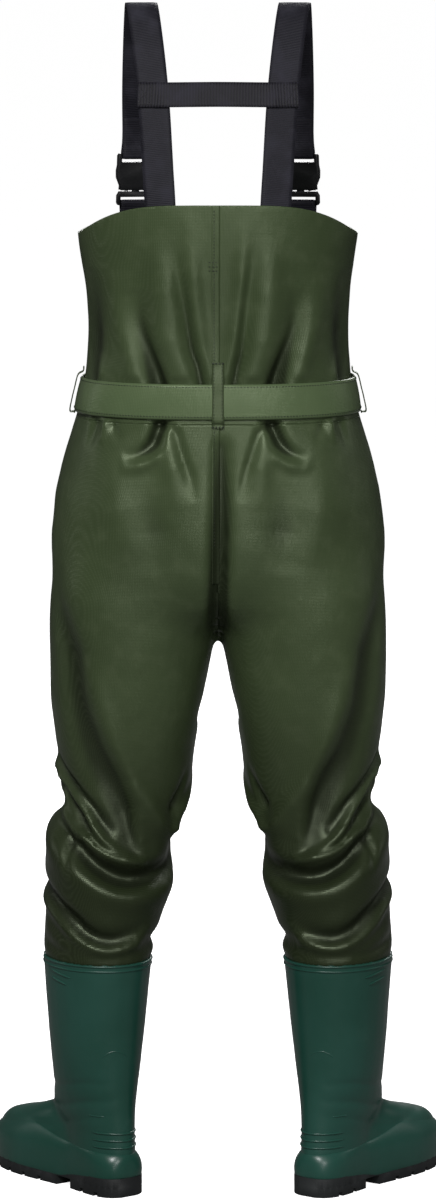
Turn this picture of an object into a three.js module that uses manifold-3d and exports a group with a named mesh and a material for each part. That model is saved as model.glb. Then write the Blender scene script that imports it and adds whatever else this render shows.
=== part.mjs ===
// Chest waders: a bib-and-leg shell of coated fabric welded to two moulded boots,
// a fabric belt in loops, and webbing shoulder straps with side-release buckles.
// Millimetres, +Z up, toes and chest towards +Y, the wearer's right hand towards +X.
import * as THREE from "three";
import { mergeVertices } from "three/addons/utils/BufferGeometryUtils.js";
import Module from "manifold-3d";

const wasm = await Module();
wasm.setup();

// ---------------------------------------------------------------- driving dimensions
const gap = 0.3; // air kept between two pieces that are sewn or welded together
const curveRoom = 0.9; // more room where both pieces curve and their facets differ

// heights, each one a length of its own
const bootHeight = 347; // ground to the boot's top edge
const legLength = 468; // boot top edge to the crotch
const rise = 317; // crotch to the waist seam
const bibHeight = 265; // waist seam to the top hem at the sides
const hemArchBack = 48; // how much higher the hem is at the centre back
const hemArchFront = 21; // and at the centre front
const hemArchPower = 4; // how flat the arch is in the middle
const strapRise = 329; // top hem at the sides to the top of the shoulder loops

// body of the garment
const fabricWall = 2;
const chestWidth = 406;
const ribWidth = 376;
const waistWidth = 412;
const hipWidth = 490;
const chestDepthBack = 138;
const chestDepthFront = 134;
const ribDepthBack = 131;
const ribDepthFront = 124;
const waistDepthBack = 139;
const waistDepthFront = 130;
const hipDepthBack = 156;
const hipDepthFront = 138;
const torsoSquareness = 2.3; // 2 is an ellipse, more is boxier
const torsoSteps = 40; // facets round the body
const thighWidth = 242;
const thighDepth = 262;
const thighCentre = 124.5; // from the middle of the body
const kneeWidth = 183;
const kneeDepth = 200;
const kneeCentre = 141;
const calfWidth = 189;
const calfDepth = 196;
const calfCentre = 159;

// boots
const bootWall = 4;
const toeOut = 36; // degrees that each foot points away from straight ahead
const heelX = 132; // back of the heel, from the middle of the body
const heelY = -110;
const footLength = 306;
const shaftLength = 176; // shaft's size along the foot at the top edge
const shaftWidth = 152; // and across it
const ankleHeight = 148;
const soleTop = 28;
const heelBlockLength = 88;
const heelBlockHeight = 14;
const forefootStart = 118;
const treadGrooveWidth = 7;
const treadGrooveDepth = 6;
const soleEdge = 4; // how far the sole stands out round the upper
const insoleThick = 4;
const topBandHeight = 16;
const topBandThick = 1.8;
const cuffInsert = 14; // fabric leg that reaches down inside the boot

// belt and its loops
const beltWidth = 50;
const beltThick = 2.4;
const beltLift = 8; // belt's lower edge above the waist seam
const beltEndSteps = 3; // facets each side of the centre front where the fabric belt ends
const seamStripWidth = 13;
const seamStripThick = 0.8;
const loopWidth = 16.5;
const loopThick = 1.8;
const loopAbove = 31; // centre-back loop's reach above the belt
const loopBelow = 12;
const sideLoopAbove = 13;
const sideLoopBelow = 4;
const loopSlack = 1.2; // room between the belt and a loop that lies flat
const sideLoopSlack = 6.5; // and at the side loops, which bow out

// webbing
const webWidth = 45;
const webThick = 1.8;
const crossWidth = 37;
const strapBackX = 82; // strap's middle at the back hem
const strapTopX = 110;
const strapFrontX = 121;
const crossStrapHeight = 152; // back hem to the middle of the cross strap
const strapSewn = 60; // webbing sewn down inside the bib at the back
const tabSewn = 48; // and inside the bib at the front
const strapTail = 52; // loose end past the buckle
const hemFacingWidth = 22;
const hemFacingThick = 1.2;

// side-release buckles
const buckleLength = 75;
const buckleWall = 6.5; // moulding each side of the webbing window
const buckleThick = 10;
const barSize = 5;
const barClearance = 0.3;
const socketLength = 53;
const tongueFrameLength = 20;
const armSlot = 6; // hollow between the socket's two plates
const armClearance = 0.4;
const windowHeight = 7;

// heights that follow from the lengths above
const crotchZ = bootHeight + legLength;
const waistZ = crotchZ + rise;
const hemSideZ = waistZ + bibHeight;
const hemBackZ = hemSideZ + hemArchBack;
const shoulderZ = hemSideZ + strapRise;
const beltLowZ = waistZ + beltLift;
const beltHighZ = beltLowZ + beltWidth;
const beltOffset = gap + seamStripThick + gap + curveRoom;
const torsoStep = 360 / torsoSteps; // degrees between the body's facets

// ---------------------------------------------------------------- materials
const finish = (color, roughness, metalness = 0) =>
  new THREE.MeshStandardMaterial({ color, roughness, metalness });
const coatedFabric = finish(0x3e4837, 0.5);
const beltFabric = finish(0x505f47, 0.45);
const webbing = finish(0x2a2930, 0.85);
const buckleNylon = finish(0x141417, 0.45);
const bootPvc = finish(0x1e3b31, 0.3);
const solePvc = finish(0x25292a, 0.6);
const insoleFoam = finish(0x5c6058, 0.9);

// ---------------------------------------------------------------- geometry helpers
const vec = (x, y, z) => new THREE.Vector3(x, y, z);
const radians = THREE.MathUtils.degToRad;
const lerp = THREE.MathUtils.lerp;

// Smooth curve through rows of [key, value, value, ...]; returns the values at a key.
function station(rows, key) {
  const last = rows.length - 1;
  if (key <= rows[0][0]) return rows[0].slice(1);
  if (key >= rows[last][0]) return rows[last].slice(1);
  const i = rows.findIndex((row, n) => key < rows[n + 1][0]);
  const [a, b] = [rows[i], rows[i + 1]];
  const before = rows[Math.max(i - 1, 0)];
  const after = rows[Math.min(i + 2, last)];
  const t = (key - a[0]) / (b[0] - a[0]);
  return a.slice(1).map((_, k) => {
    const c = k + 1;
    const m0 = ((b[c] - before[c]) / (b[0] - before[0])) * (b[0] - a[0]);
    const m1 = ((after[c] - a[c]) / (after[0] - a[0])) * (b[0] - a[0]);
    const d = b[c] - a[c];
    return a[c] + t * (m0 + t * (3 * d - 2 * m0 - m1 + t * (m0 + m1 - 2 * d)));
  });
}

// A geometry with its faces turned outwards, whichever way it was wound.
function outward(geometry) {
  const merged = geometry.clone();
  merged.deleteAttribute("normal");
  merged.deleteAttribute("uv");
  const g = mergeVertices(merged, 1e-4);
  const p = g.attributes.position;
  const index = g.index.array;
  const [a, b, c] = [vec(), vec(), vec()];
  let volume = 0;
  for (let i = 0; i < index.length; i += 3) {
    a.fromBufferAttribute(p, index[i]);
    b.fromBufferAttribute(p, index[i + 1]);
    c.fromBufferAttribute(p, index[i + 2]);
    volume += a.dot(b.cross(c));
  }
  if (volume < 0) {
    for (let i = 0; i < index.length; i += 3) {
      [index[i + 1], index[i + 2]] = [index[i + 2], index[i + 1]];
    }
  }
  return g;
}

// Closed solid through rings of points, each ring closed by a fan at its middle.
function loft(rings) {
  const count = rings[0].length;
  const points = rings.flat();
  const faces = [];
  for (let r = 0; r < rings.length - 1; r++) {
    for (let i = 0; i < count; i++) {
      const j = (i + 1) % count;
      const [a, b] = [r * count + i, r * count + j];
      faces.push(a, b, b + count, a, b + count, a + count);
    }
  }
  const middle = (ring) =>
    ring.reduce((sum, p) => sum.add(p), vec(0, 0, 0)).divideScalar(count);
  const top = (rings.length - 1) * count;
  points.push(middle(rings[0]), middle(rings.at(-1)));
  for (let i = 0; i < count; i++) {
    const j = (i + 1) % count;
    faces.push(j, i, points.length - 2);
    faces.push(top + i, top + j, points.length - 1);
  }
  const g = new THREE.BufferGeometry().setFromPoints(points);
  return g.setIndex(faces);
}

// Flat strip of webbing or fabric along frames of {c: centre, w: width direction}.
function ribbon(frames, width, thick) {
  const rings = frames.map(({ c, w }, i) => {
    const from = frames[Math.max(i - 1, 0)].c;
    const to = frames[Math.min(i + 1, frames.length - 1)].c;
    const along = to.clone().sub(from).normalize();
    const out = along.clone().cross(w).normalize().multiplyScalar(thick / 2);
    const side = out.clone().cross(along).normalize().multiplyScalar(width / 2);
    const corner = (a, b) => c.clone().addScaledVector(side, a).addScaledVector(out, b);
    return [corner(-1, -1), corner(1, -1), corner(1, 1), corner(-1, 1)];
  });
  return loft(rings);
}

function solid(geometry) {
  const g = outward(geometry);
  const mesh = new wasm.Mesh({
    numProp: 3,
    vertProperties: g.attributes.position.array,
    triVerts: new Uint32Array(g.index.array),
  });
  return new wasm.Manifold(mesh);
}

// Box between two corners, as a solid.
function block(low, high) {
  const size = high.clone().sub(low);
  const centre = low.clone().add(high).multiplyScalar(0.5);
  const g = new THREE.BoxGeometry(size.x, size.y, size.z);
  return solid(g.translate(centre.x, centre.y, centre.z));
}

// Plate with the given outline in its own X and Y, from z0 to z1.
function plate(outline, z0, z1) {
  const shape = new THREE.Shape(outline.map(([x, y]) => new THREE.Vector2(x, y)));
  const g = new THREE.ExtrudeGeometry(shape, { depth: z1 - z0, bevelEnabled: false });
  return g.translate(0, 0, z0);
}

const waders = new THREE.Group();

function add(name, geometry, material) {
  const mesh = new THREE.Mesh(geometry, material);
  mesh.name = name;
  waders.add(mesh);
}

function addGeometry(name, geometry, material) {
  add(name, outward(geometry), material);
}

function fromSolid(made) {
  const { vertProperties, triVerts } = made.getMesh();
  const g = new THREE.BufferGeometry();
  g.setAttribute("position", new THREE.BufferAttribute(vertProperties, 3));
  return g.setIndex(new THREE.BufferAttribute(triVerts, 1));
}

const addSolid = (name, made, material) => add(name, fromSolid(made), material);

const sides = [
  ["left", -1],
  ["right", 1],
];

// ---------------------------------------------------------------- body surface
const riseAt = (share) => crotchZ + share * rise;
const bibAt = (share) => waistZ + share * bibHeight;
const chestHalf = chestWidth / 2;
const ribHalf = ribWidth / 2;
const waistHalf = waistWidth / 2;
const hipHalf = hipWidth / 2;

// Half width, depth to the back and depth to the front at each height.
const hipToWaist = (share) => lerp(hipHalf, waistHalf, share);
const seatToWaist = (share) => lerp(hipDepthBack, waistDepthBack, share);
const ribToChest = (rib, chest) => lerp(rib, chest, 0.4);
const torsoRows = [
  [riseAt(0), hipHalf * 0.22, hipDepthBack * 0.22, hipDepthFront * 0.22],
  [riseAt(0.04), hipHalf * 0.55, hipDepthBack * 0.55, hipDepthFront * 0.55],
  [riseAt(0.12), hipHalf * 0.86, hipDepthBack * 0.83, hipDepthFront * 0.84],
  [riseAt(0.26), hipHalf * 0.985, hipDepthBack * 0.96, hipDepthFront * 0.95],
  [riseAt(0.5), hipToWaist(0.09), hipDepthBack, hipDepthFront],
  [riseAt(0.7), hipToWaist(0.3), seatToWaist(0.3), hipDepthFront],
  [riseAt(0.85), hipToWaist(0.65), seatToWaist(0.7), waistDepthFront],
  [waistZ, waistHalf, waistDepthBack, waistDepthFront],
  [bibAt(0.2), ribHalf + 5, ribDepthBack + 2, ribDepthFront + 2],
  [bibAt(0.5), ribHalf, ribDepthBack, ribDepthFront],
  [
    bibAt(0.75),
    lerp(ribHalf, chestHalf, 0.32),
    ribToChest(ribDepthBack, chestDepthBack),
    ribToChest(ribDepthFront, chestDepthFront),
  ],
  [hemSideZ, chestHalf, chestDepthBack, chestDepthFront],
  [hemBackZ + 40, chestHalf + 5, chestDepthBack + 3, chestDepthFront + 3],
];

// Point on the body at an angle (0 is the wearer's right, 90 the front), moved out by off.
function torsoPoint(angle, z, off = 0) {
  const [half, back, front] = station(torsoRows, z);
  const [c, s] = [Math.cos(radians(angle)), Math.sin(radians(angle))];
  const power = 2 / torsoSquareness;
  const depth = (s < 0 ? back : front) + off;
  const x = (half + off) * Math.sign(c) * Math.abs(c) ** power;
  return vec(x, depth * Math.sign(s) * Math.abs(s) ** power, z);
}

// Y of the body's surface at a given X, on the front (1) or the back (-1).
function torsoY(x, z, face, off = 0) {
  const [half, back, front] = station(torsoRows, z);
  const share = Math.min(Math.abs(x) / (half + off), 1);
  const depth = (face < 0 ? back : front) + off;
  return face * depth * (1 - share ** torsoSquareness) ** (1 / torsoSquareness);
}

// Height of the top hem above any point of the body.
function hemZ(x, y) {
  const arch = y < 0 ? hemArchBack : hemArchFront;
  const share = Math.min(Math.abs(x) / chestHalf, 1);
  return hemSideZ + arch * (1 - share ** hemArchPower);
}

const horizontal = (angle, z) => {
  const ahead = torsoPoint(angle + 1, z);
  return ahead.sub(torsoPoint(angle - 1, z)).normalize();
};

const riseShares = [0, 0.04, 0.09, 0.16, 0.28, 0.46, 0.64, 0.82, 1];
const bibShares = [0.1, 0.22, 0.36, 0.52, 0.68, 0.84, 1];
function torsoSolid(off, lift) {
  const ring = (height) =>
    Array.from({ length: torsoSteps }, (_, i) => {
      const angle = (i * 360) / torsoSteps;
      return torsoPoint(angle, height(torsoPoint(angle, hemSideZ)), off);
    });
  const rings = riseShares.map((share) => ring(() => riseAt(share) + (share ? 0 : lift)));
  for (const share of bibShares) {
    const over = share === 1 ? 3 * lift : 0;
    rings.push(ring((p) => lerp(waistZ, hemZ(p.x, p.y), share) + over));
  }
  return solid(loft(rings));
}

// ---------------------------------------------------------------- feet and legs
const [footSin, footCos] = [Math.sin(radians(toeOut)), Math.cos(radians(toeOut))];

// Point of a boot: s along the foot from the back of the heel, m towards the other foot.
function footPoint(side, s, m, z) {
  const x = heelX + s * footSin - m * footCos;
  return vec(side * x, heelY + s * footCos + m * footSin, z);
}

// Boot shaft at each height: middle along the foot, half length and half width.
const shaftRows = [
  [soleTop, 70, 69, 37],
  [60, 70, 72, 40],
  [90, 72, 72, 40],
  [118, 84, 83, 45.5],
  [ankleHeight, 81, 79, 51],
  [ankleHeight + 32, 79, 77.5, 57.5],
  [lerp(ankleHeight, bootHeight, 0.46), 77.5, 80, 66],
  [bootHeight, 74, shaftLength / 2, shaftWidth / 2],
];
const shaftSteps = 24;

function shaftRing(side, z, off) {
  const [middle, long, wide] = station(shaftRows, z);
  return Array.from({ length: shaftSteps }, (_, i) => {
    const angle = (i * 2 * Math.PI) / shaftSteps;
    const s = middle + (long + off) * Math.cos(angle);
    return footPoint(side, s, (wide + off) * Math.sin(angle), z);
  });
}

// Leg at each height: middle X and Y, half size along the foot's line and across it.
const legAt = (share) => bootHeight + share * legLength;
const [cuffMiddle] = station(shaftRows, bootHeight);
const cuffX = heelX + cuffMiddle * footSin;
const cuffY = heelY + cuffMiddle * footCos;
const legRows = [
  [bootHeight + 4, cuffX, cuffY, shaftLength / 2 + 1, shaftWidth / 2 + 1, toeOut],
  [legAt(0.1), 170, -42, 87, 80, toeOut * 0.8],
  [legAt(0.2), calfCentre + 3, -32, calfDepth / 2, calfWidth / 2 - 3, toeOut * 0.5],
  [legAt(0.28), calfCentre, -24, calfDepth / 2 + 2, calfWidth / 2, toeOut * 0.3],
  [legAt(0.38), calfCentre - 5, -14, kneeDepth / 2, calfWidth / 2 - 3, toeOut * 0.15],
  [legAt(0.47), kneeCentre - 2, -8, kneeDepth / 2, kneeWidth / 2, 0],
  [legAt(0.55), kneeCentre - 7, -7, kneeDepth / 2 + 3, kneeWidth / 2 + 5, 0],
  [legAt(0.72), 135, -7, lerp(kneeDepth, thighDepth, 0.6) / 2, 106, 0],
  [legAt(0.88), 129, -8, lerp(kneeDepth, thighDepth, 0.88) / 2, 117, 0],
  [legAt(1), thighCentre, -9, thighDepth / 2, thighWidth / 2 + 0.5, 0],
  [riseAt(0.2), thighCentre - 2, -9, thighDepth / 2 + 5, thighWidth / 2, 0],
  [riseAt(0.42), thighCentre - 6, -8, thighDepth / 2 - 4, thighWidth / 2 - 8, 0],
];
const legSteps = shaftSteps; // so that the cuff and the boot meet facet to facet
const legSquareness = 2.15;

function legRing(side, z, off) {
  const [x0, y0, long, wide, turn] = station(legRows, z);
  const [sn, cs] = [Math.sin(radians(turn)), Math.cos(radians(turn))];
  const power = 2 / legSquareness;
  return Array.from({ length: legSteps }, (_, i) => {
    const angle = (i * 2 * Math.PI) / legSteps;
    const [c, s] = [Math.cos(angle), Math.sin(angle)];
    const along = (long + off) * Math.sign(s) * Math.abs(s) ** power;
    const across = (wide + off) * Math.sign(c) * Math.abs(c) ** power;
    const x = x0 + along * sn - across * cs;
    return vec(side * x, y0 + along * cs + across * sn, z);
  });
}

// The leg's last stretch is gathered so that it fits inside the boot's top.
function cuffRing(side, z, off) {
  const [middle, long, wide] = station(shaftRows, bootHeight - cuffInsert);
  const inset = bootWall + gap + curveRoom - off;
  return Array.from({ length: legSteps }, (_, i) => {
    const angle = (i * 2 * Math.PI) / legSteps;
    const s = middle + (long - inset) * Math.sin(angle);
    return footPoint(side, s, (wide - inset) * Math.cos(angle), z);
  });
}

function legSolid(side, off) {
  const over = off < 0 ? 5 : 0;
  const rings = [
    cuffRing(side, bootHeight - cuffInsert - over, off),
    cuffRing(side, bootHeight + 1, off),
  ];
  const shares = [0.012, 0.06, 0.12, 0.2, 0.28, 0.38, 0.47, 0.55, 0.66, 0.8, 1];
  for (const share of shares) rings.push(legRing(side, legAt(share), off));
  for (const share of [0.2, 0.42]) rings.push(legRing(side, riseAt(share), off));
  return solid(loft(rings));
}

// ---------------------------------------------------------------- fabric panels
const far = 2500;
const outside = torsoSolid(0, 0).add(legSolid(-1, 0)).add(legSolid(1, 0));
const hollow = torsoSolid(-fabricWall, fabricWall)
  .add(legSolid(-1, -fabricWall))
  .add(legSolid(1, -fabricWall));
const shell = outside.subtract(hollow);

for (const [name, side] of sides) {
  const near = (side * gap) / 2;
  const [x0, x1] = side < 0 ? [-far, near] : [near, far];
  const upper = block(vec(x0, -far, waistZ + gap / 2), vec(x1, far, far));
  const lower = block(vec(x0, -far, -far), vec(x1, far, waistZ - gap / 2));
  addSolid(`bib_panel_${name}`, shell.intersect(upper), coatedFabric);
  addSolid(`leg_panel_${name}`, shell.intersect(lower), coatedFabric);
}

// Welded strips over the centre seams, bent at the same heights as the panels.
function seamStrip(name, angle, heights) {
  const off = gap + seamStripThick / 2;
  const frames = heights.map((z) => ({ c: torsoPoint(angle, z, off), w: vec(1, 0, 0) }));
  addGeometry(name, ribbon(frames, seamStripWidth, seamStripThick), coatedFabric);
}
const stripStart = 2;
const upperHeights = (hem) => [
  waistZ + stripStart,
  ...bibShares.slice(0, -1).map((share) => lerp(waistZ, hem, share)),
  hem - stripStart,
];
const lowerHeights = [...riseShares.slice(4, -1).map(riseAt), waistZ - stripStart];
seamStrip("back_seam_strip", 270, upperHeights(hemBackZ));
seamStrip("front_seam_strip", 90, upperHeights(hemSideZ + hemArchFront));
seamStrip("seat_seam_strip", 270, lowerHeights);
seamStrip("fly_seam_strip", 90, lowerHeights);

// Facing sewn inside the top hem, one half each side.
const facingOff = -(fabricWall + gap + curveRoom + hemFacingThick / 2);
for (const [name, side] of sides) {
  const quarter = torsoSteps / 4;
  const frames = Array.from({ length: 2 * quarter + 1 }, (_, i) => {
    const turn = THREE.MathUtils.clamp((i - quarter) * torsoStep, -88.5, 88.5);
    const angle = side > 0 ? turn : 180 - turn;
    const surface = torsoPoint(angle, hemSideZ);
    const z = hemZ(surface.x, surface.y) - hemFacingWidth / 2 - 1;
    const lean = torsoPoint(angle, z + 10).sub(torsoPoint(angle, z - 10));
    return { c: torsoPoint(angle, z, facingOff), w: lean.normalize() };
  });
  addGeometry(`hem_facing_${name}`, ribbon(frames, hemFacingWidth, hemFacingThick), coatedFabric);
}

// ---------------------------------------------------------------- belt and loops
function beltRing(angle) {
  const [inner, outer] = [beltOffset, beltOffset + beltThick];
  return [
    torsoPoint(angle, beltLowZ, inner),
    torsoPoint(angle, beltLowZ, outer),
    torsoPoint(angle, beltHighZ, outer),
    torsoPoint(angle, beltHighZ, inner),
  ];
}
const beltEndAngle = beltEndSteps * torsoStep;
const beltSteps = torsoSteps - 2 * beltEndSteps;
const beltRings = Array.from({ length: beltSteps + 1 }, (_, i) =>
  beltRing(90 + beltEndAngle + i * torsoStep),
);
addGeometry("waist_belt", loft(beltRings), beltFabric);

function beltLoop(name, angle, above, below, slack) {
  const flat = beltOffset + loopThick / 2;
  const proud = beltOffset + beltThick + slack + loopThick / 2;
  const sewn = 7; // length sewn flat at each end
  const [low, high] = [beltLowZ - below, beltHighZ + above];
  const course = [
    [low, flat],
    [low + Math.min(sewn, below * 0.5), flat],
    [beltLowZ - 1, proud - slack * 0.3],
    [lerp(beltLowZ, beltHighZ, 0.35), proud],
    [lerp(beltLowZ, beltHighZ, 0.65), proud],
    [beltHighZ + 1, proud - slack * 0.3],
    [high - Math.min(sewn, above * 0.5), flat],
    [high, flat],
  ];
  const frames = course.map(([z, off]) => ({
    c: torsoPoint(angle, z, off),
    w: horizontal(angle, z),
  }));
  addGeometry(name, ribbon(frames, loopWidth, loopThick), coatedFabric);
}
beltLoop("belt_loop_back", 270, loopAbove, loopBelow, loopSlack);
beltLoop("belt_loop_left", 180, sideLoopAbove, sideLoopBelow, sideLoopSlack);
beltLoop("belt_loop_right", 0, sideLoopAbove, sideLoopBelow, sideLoopSlack);
beltLoop("belt_loop_front_left", 144, sideLoopAbove, sideLoopBelow, loopSlack);
beltLoop("belt_loop_front_right", 36, sideLoopAbove, sideLoopBelow, loopSlack);

// ---------------------------------------------------------------- side-release buckles
// A buckle's own frame: U across the webbing, V from the tongue to the socket, N outwards.
function buckleFrame(origin, v, n) {
  const [V, N] = [v.clone().normalize(), n.clone()];
  N.addScaledVector(V, -N.dot(V)).normalize();
  const U = V.clone().cross(N);
  const matrix = new THREE.Matrix4().makeBasis(U, V, N).setPosition(origin);
  const at = (a, b, c) => vec(a, b, c).applyMatrix4(matrix);
  return { U, V, N, matrix, at };
}

const mirrored = (half) => [...half, ...half.map(([u, v]) => [-u, v]).reverse()];
const armHalf = armSlot / 2 - armClearance;
const socketStart = buckleLength - socketLength;
const barMiddle = barSize / 2;
const slotEnd = buckleLength - 24.5;

function buckle(prefix, frame, width) {
  const half = width / 2 + 1 + buckleWall;
  const open = width / 2 + 1;
  const thick = buckleThick / 2;
  const put = (made) => fromSolid(made).applyMatrix4(frame.matrix);
  const top = buckleLength;
  const socketHalf = [
    [half - 5, socketStart],
    [half - 5.5, socketStart + 6],
    [half - 0.5, socketStart + 18],
    [half, socketStart + 28],
    [half - 1.5, top - 17],
    [half - 1.5, top - 3],
    [half - 3.5, top],
  ];
  const bar = barSize / 2;
  const barEdge = top - barSize;
  let socket = solid(plate(mirrored(socketHalf), -thick, thick));
  socket = socket
    .subtract(block(vec(-far, 0, -armSlot / 2), vec(far, slotEnd, armSlot / 2)))
    .subtract(block(vec(-open, barEdge - windowHeight, -far), vec(open, barEdge, far)))
    .subtract(block(vec(-open, barEdge - 2, bar), vec(open, far, far)))
    .subtract(block(vec(-open, barEdge - 2, -far), vec(open, far, -bar)))
    .add(block(vec(-3, socketStart + 9, -armSlot / 2 - 0.5), vec(3, slotEnd + 0.5, armSlot / 2 + 0.5)));
  addGeometry(`${prefix}_socket`, put(socket), buckleNylon);

  const frameHalf = [
    [half - 3.5, 0],
    [half - 1.5, 3],
    [half - 1.5, tongueFrameLength - 6],
    [half - 5, tongueFrameLength],
  ];
  const tongueThick = thick - 1.5;
  const tongue = solid(plate(mirrored(frameHalf), -tongueThick, tongueThick))
    .subtract(block(vec(-open, barSize, -far), vec(open, barSize + windowHeight, far)))
    .subtract(block(vec(-open, -far, bar), vec(open, barSize + 1, far)))
    .subtract(block(vec(-open, -far, -far), vec(open, barSize + 1, -bar)))
    .add(block(vec(-5, tongueFrameLength - 1, -armHalf), vec(5, socketStart + 7, armHalf)));
  addGeometry(`${prefix}_tongue`, put(tongue), buckleNylon);

  const root = tongueFrameLength + 0.8;
  const inner = half * 0.4;
  const arm = [
    [inner, root],
    [inner + 5, root],
    [inner + 6.5, root + 11],
    [half - 6, root + 15],
    [half - 1, root + 18],
    [half - 0.5, root + 23],
    [half - 4, root + 27],
    [inner + 7, root + 27],
    [inner + 2, root + 19],
    [inner, root + 9],
  ];
  for (const [hand, sign] of [["a", 1], ["b", -1]]) {
    const outline = arm.map(([u, v]) => [sign * u, v]);
    const g = solid(plate(outline, -armHalf, armHalf));
    addGeometry(`${prefix}_arm_${hand}`, put(g), buckleNylon);
  }
}

// Half turn of webbing round a bar at v, on the side away from the run; starts at n = +r.
const turnRadius = barSize * Math.SQRT1_2 + barClearance + webThick / 2;
function turnRound(frame, v, up) {
  return Array.from({ length: 7 }, (_, i) => {
    const angle = (Math.PI * i) / 6;
    const rise = up * turnRadius * Math.sin(angle);
    return { c: frame.at(0, v + rise, turnRadius * Math.cos(angle)), w: frame.U.clone() };
  });
}

// ---------------------------------------------------------------- shoulder straps
const twist = (side, degrees) =>
  vec(Math.cos(radians(degrees)), side * Math.sin(radians(degrees)), 0);

const sagBehindFacing = gap + hemFacingThick + gap + 3.2 * curveRoom;
const strapInset = -(fabricWall + sagBehindFacing + webThick / 2);
const backTwist = 13;
const frontTwist = -20;
const tongueZ = hemZ(strapFrontX, 1) + 14; // bottom of the buckle, above the front hem
const buckleInset = 16; // buckle's middle plane behind the front panel's inner face
const crossZ = hemBackZ + crossStrapHeight;
const crossY = -chestDepthBack + 50;

// Smooth route through [x, y, z, twist] rows, as strip frames.
function route(side, rows, steps) {
  const curve = new THREE.CatmullRomCurve3(
    rows.map(([x, y, z]) => vec(side * x, y, z)),
    false,
    "centripetal",
  );
  return Array.from({ length: steps + 1 }, (_, i) => {
    const t = i / steps;
    const place = t * (rows.length - 1);
    const k = Math.min(Math.floor(place), rows.length - 2);
    const turn = lerp(rows[k][3], rows[k + 1][3], place - k);
    return { c: curve.getPoint(t), w: twist(side, turn) };
  });
}

const strapFrames = {};
for (const [name, side] of sides) {
  const lean = vec(-side * 0.035, -0.05, 1);
  const inner = torsoY(strapFrontX, tongueZ, 1, -fabricWall);
  const origin = vec(side * strapFrontX, inner - buckleInset, tongueZ);
  const outwards = twist(side, frontTwist).cross(vec(0, 0, 1)).negate();
  const frame = buckleFrame(origin, lean, outwards);
  strapFrames[name] = frame;
  buckle(`strap_buckle_${name}`, frame, webWidth);

  const backY = (z) => torsoY(strapBackX, z, -1, strapInset);
  const hem = hemZ(strapBackX, -1);
  const up = (v, n) => {
    const p = frame.at(0, v, n);
    return [side * p.x, p.y, p.z, frontTwist];
  };
  const over = [
    [strapBackX - 2, backY(hem - strapSewn), hem - strapSewn, backTwist],
    [strapBackX - 1, backY(hem - strapSewn / 2), hem - strapSewn / 2, backTwist],
    [strapBackX, backY(hem), hem, backTwist],
    [strapBackX + 3, backY(hem) + 9, hem + 48, backTwist],
    [strapBackX + 10, crossY, crossZ, 8],
    [lerp(strapBackX, strapTopX, 0.78), crossY * 0.43, shoulderZ - 30, 3],
    [strapTopX, 0, shoulderZ - webThick / 2, 0],
    [strapTopX + 3, 39, shoulderZ - 26, -5],
    [strapTopX + 7, 79, lerp(tongueZ + buckleLength, shoulderZ, 0.44), -14],
    up(buckleLength + 34, 1.5),
    up(buckleLength + 16, 1.6),
    up(buckleLength + 4, turnRadius - 0.4),
  ];
  const tail = [
    up(buckleLength + 6, -turnRadius + 0.6),
    up(buckleLength + 18, -1.6),
    up(buckleLength + strapTail, -1.9),
  ].map(([x, y, z]) => ({ c: vec(side * x, y, z), w: frame.U.clone() }));
  const strap = [
    ...route(side, over, 33),
    ...turnRound(frame, buckleLength - barMiddle, -1),
    ...tail,
  ];
  for (const step of strap) if (step.w.x < 0) step.w.negate();
  addGeometry(`shoulder_strap_${name}`, ribbon(strap, webWidth, webThick), webbing);

  // front tab: from the bib's inner face round the tongue's bar and back
  const tabInset = -(fabricWall + sagBehindFacing + 1.6 + webThick / 2);
  const frontHem = hemZ(strapFrontX, 1);
  const low = frontHem - hemFacingWidth - tabSewn;
  const tabX = strapFrontX + 1;
  const face = (z, more) => {
    const y = torsoY(tabX, z, 1, tabInset - more);
    return { c: vec(side * tabX, y, z), w: twist(side, frontTwist - 3) };
  };
  const twin = webThick + gap + 0.2;
  const foot = frontHem - 26;
  const tab = [
    face(low, 0),
    face(lerp(low, foot, 0.5), 0),
    face(foot, 0),
    { c: frame.at(0, -9, 2.6), w: frame.U.clone() },
    ...turnRound(frame, barMiddle, 1),
    { c: frame.at(0, -9, -2.6), w: frame.U.clone() },
    face(foot, twin),
    face(lerp(low, foot, 0.5), twin),
    face(low, twin),
  ];
  for (const step of tab) if (step.w.x < 0) step.w.negate();
  addGeometry(`front_tab_${name}`, ribbon(tab, webWidth, webThick), webbing);
}

// Cross strap, sewn over the back of both shoulder straps.
const crossLean = vec(0, 0.36, 0.93);
const crossOut = vec(0, -0.93, 0.36);
function crossPoint(side, u, off) {
  const c = vec(side * (strapBackX + 10), crossY, crossZ);
  c.addScaledVector(twist(side, 8), side * u);
  return { c: c.addScaledVector(crossOut, off), w: crossLean.clone() };
}
const crossOff = webThick + gap + 1.1;
const crossFrames = [
  crossPoint(-1, webWidth / 2, crossOff),
  crossPoint(-1, 0, crossOff),
  crossPoint(-1, -webWidth / 2 - 3, crossOff + 0.6),
  { c: vec(0, crossY - 8, crossZ + 2), w: crossLean.clone() },
  crossPoint(1, -webWidth / 2 - 3, crossOff + 0.6),
  crossPoint(1, 0, crossOff),
  crossPoint(1, webWidth / 2, crossOff),
];
addGeometry("cross_strap", ribbon(crossFrames, crossWidth, webThick), webbing);

// ---------------------------------------------------------------- belt buckle
const beltMidZ = (beltLowZ + beltHighZ) / 2;
const beltBuckleHalf = beltWidth / 2 + 1 + buckleWall;
const beltPlaneY = torsoY(0, beltMidZ - beltBuckleHalf, 1, beltOffset) + buckleThick / 2 + 0.8;
const beltBuckle = buckleFrame(
  vec(buckleLength / 2, beltPlaneY, beltMidZ),
  vec(-1, 0, 0),
  vec(0, 1, 0),
);
buckle("belt_buckle", beltBuckle, beltWidth);

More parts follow.
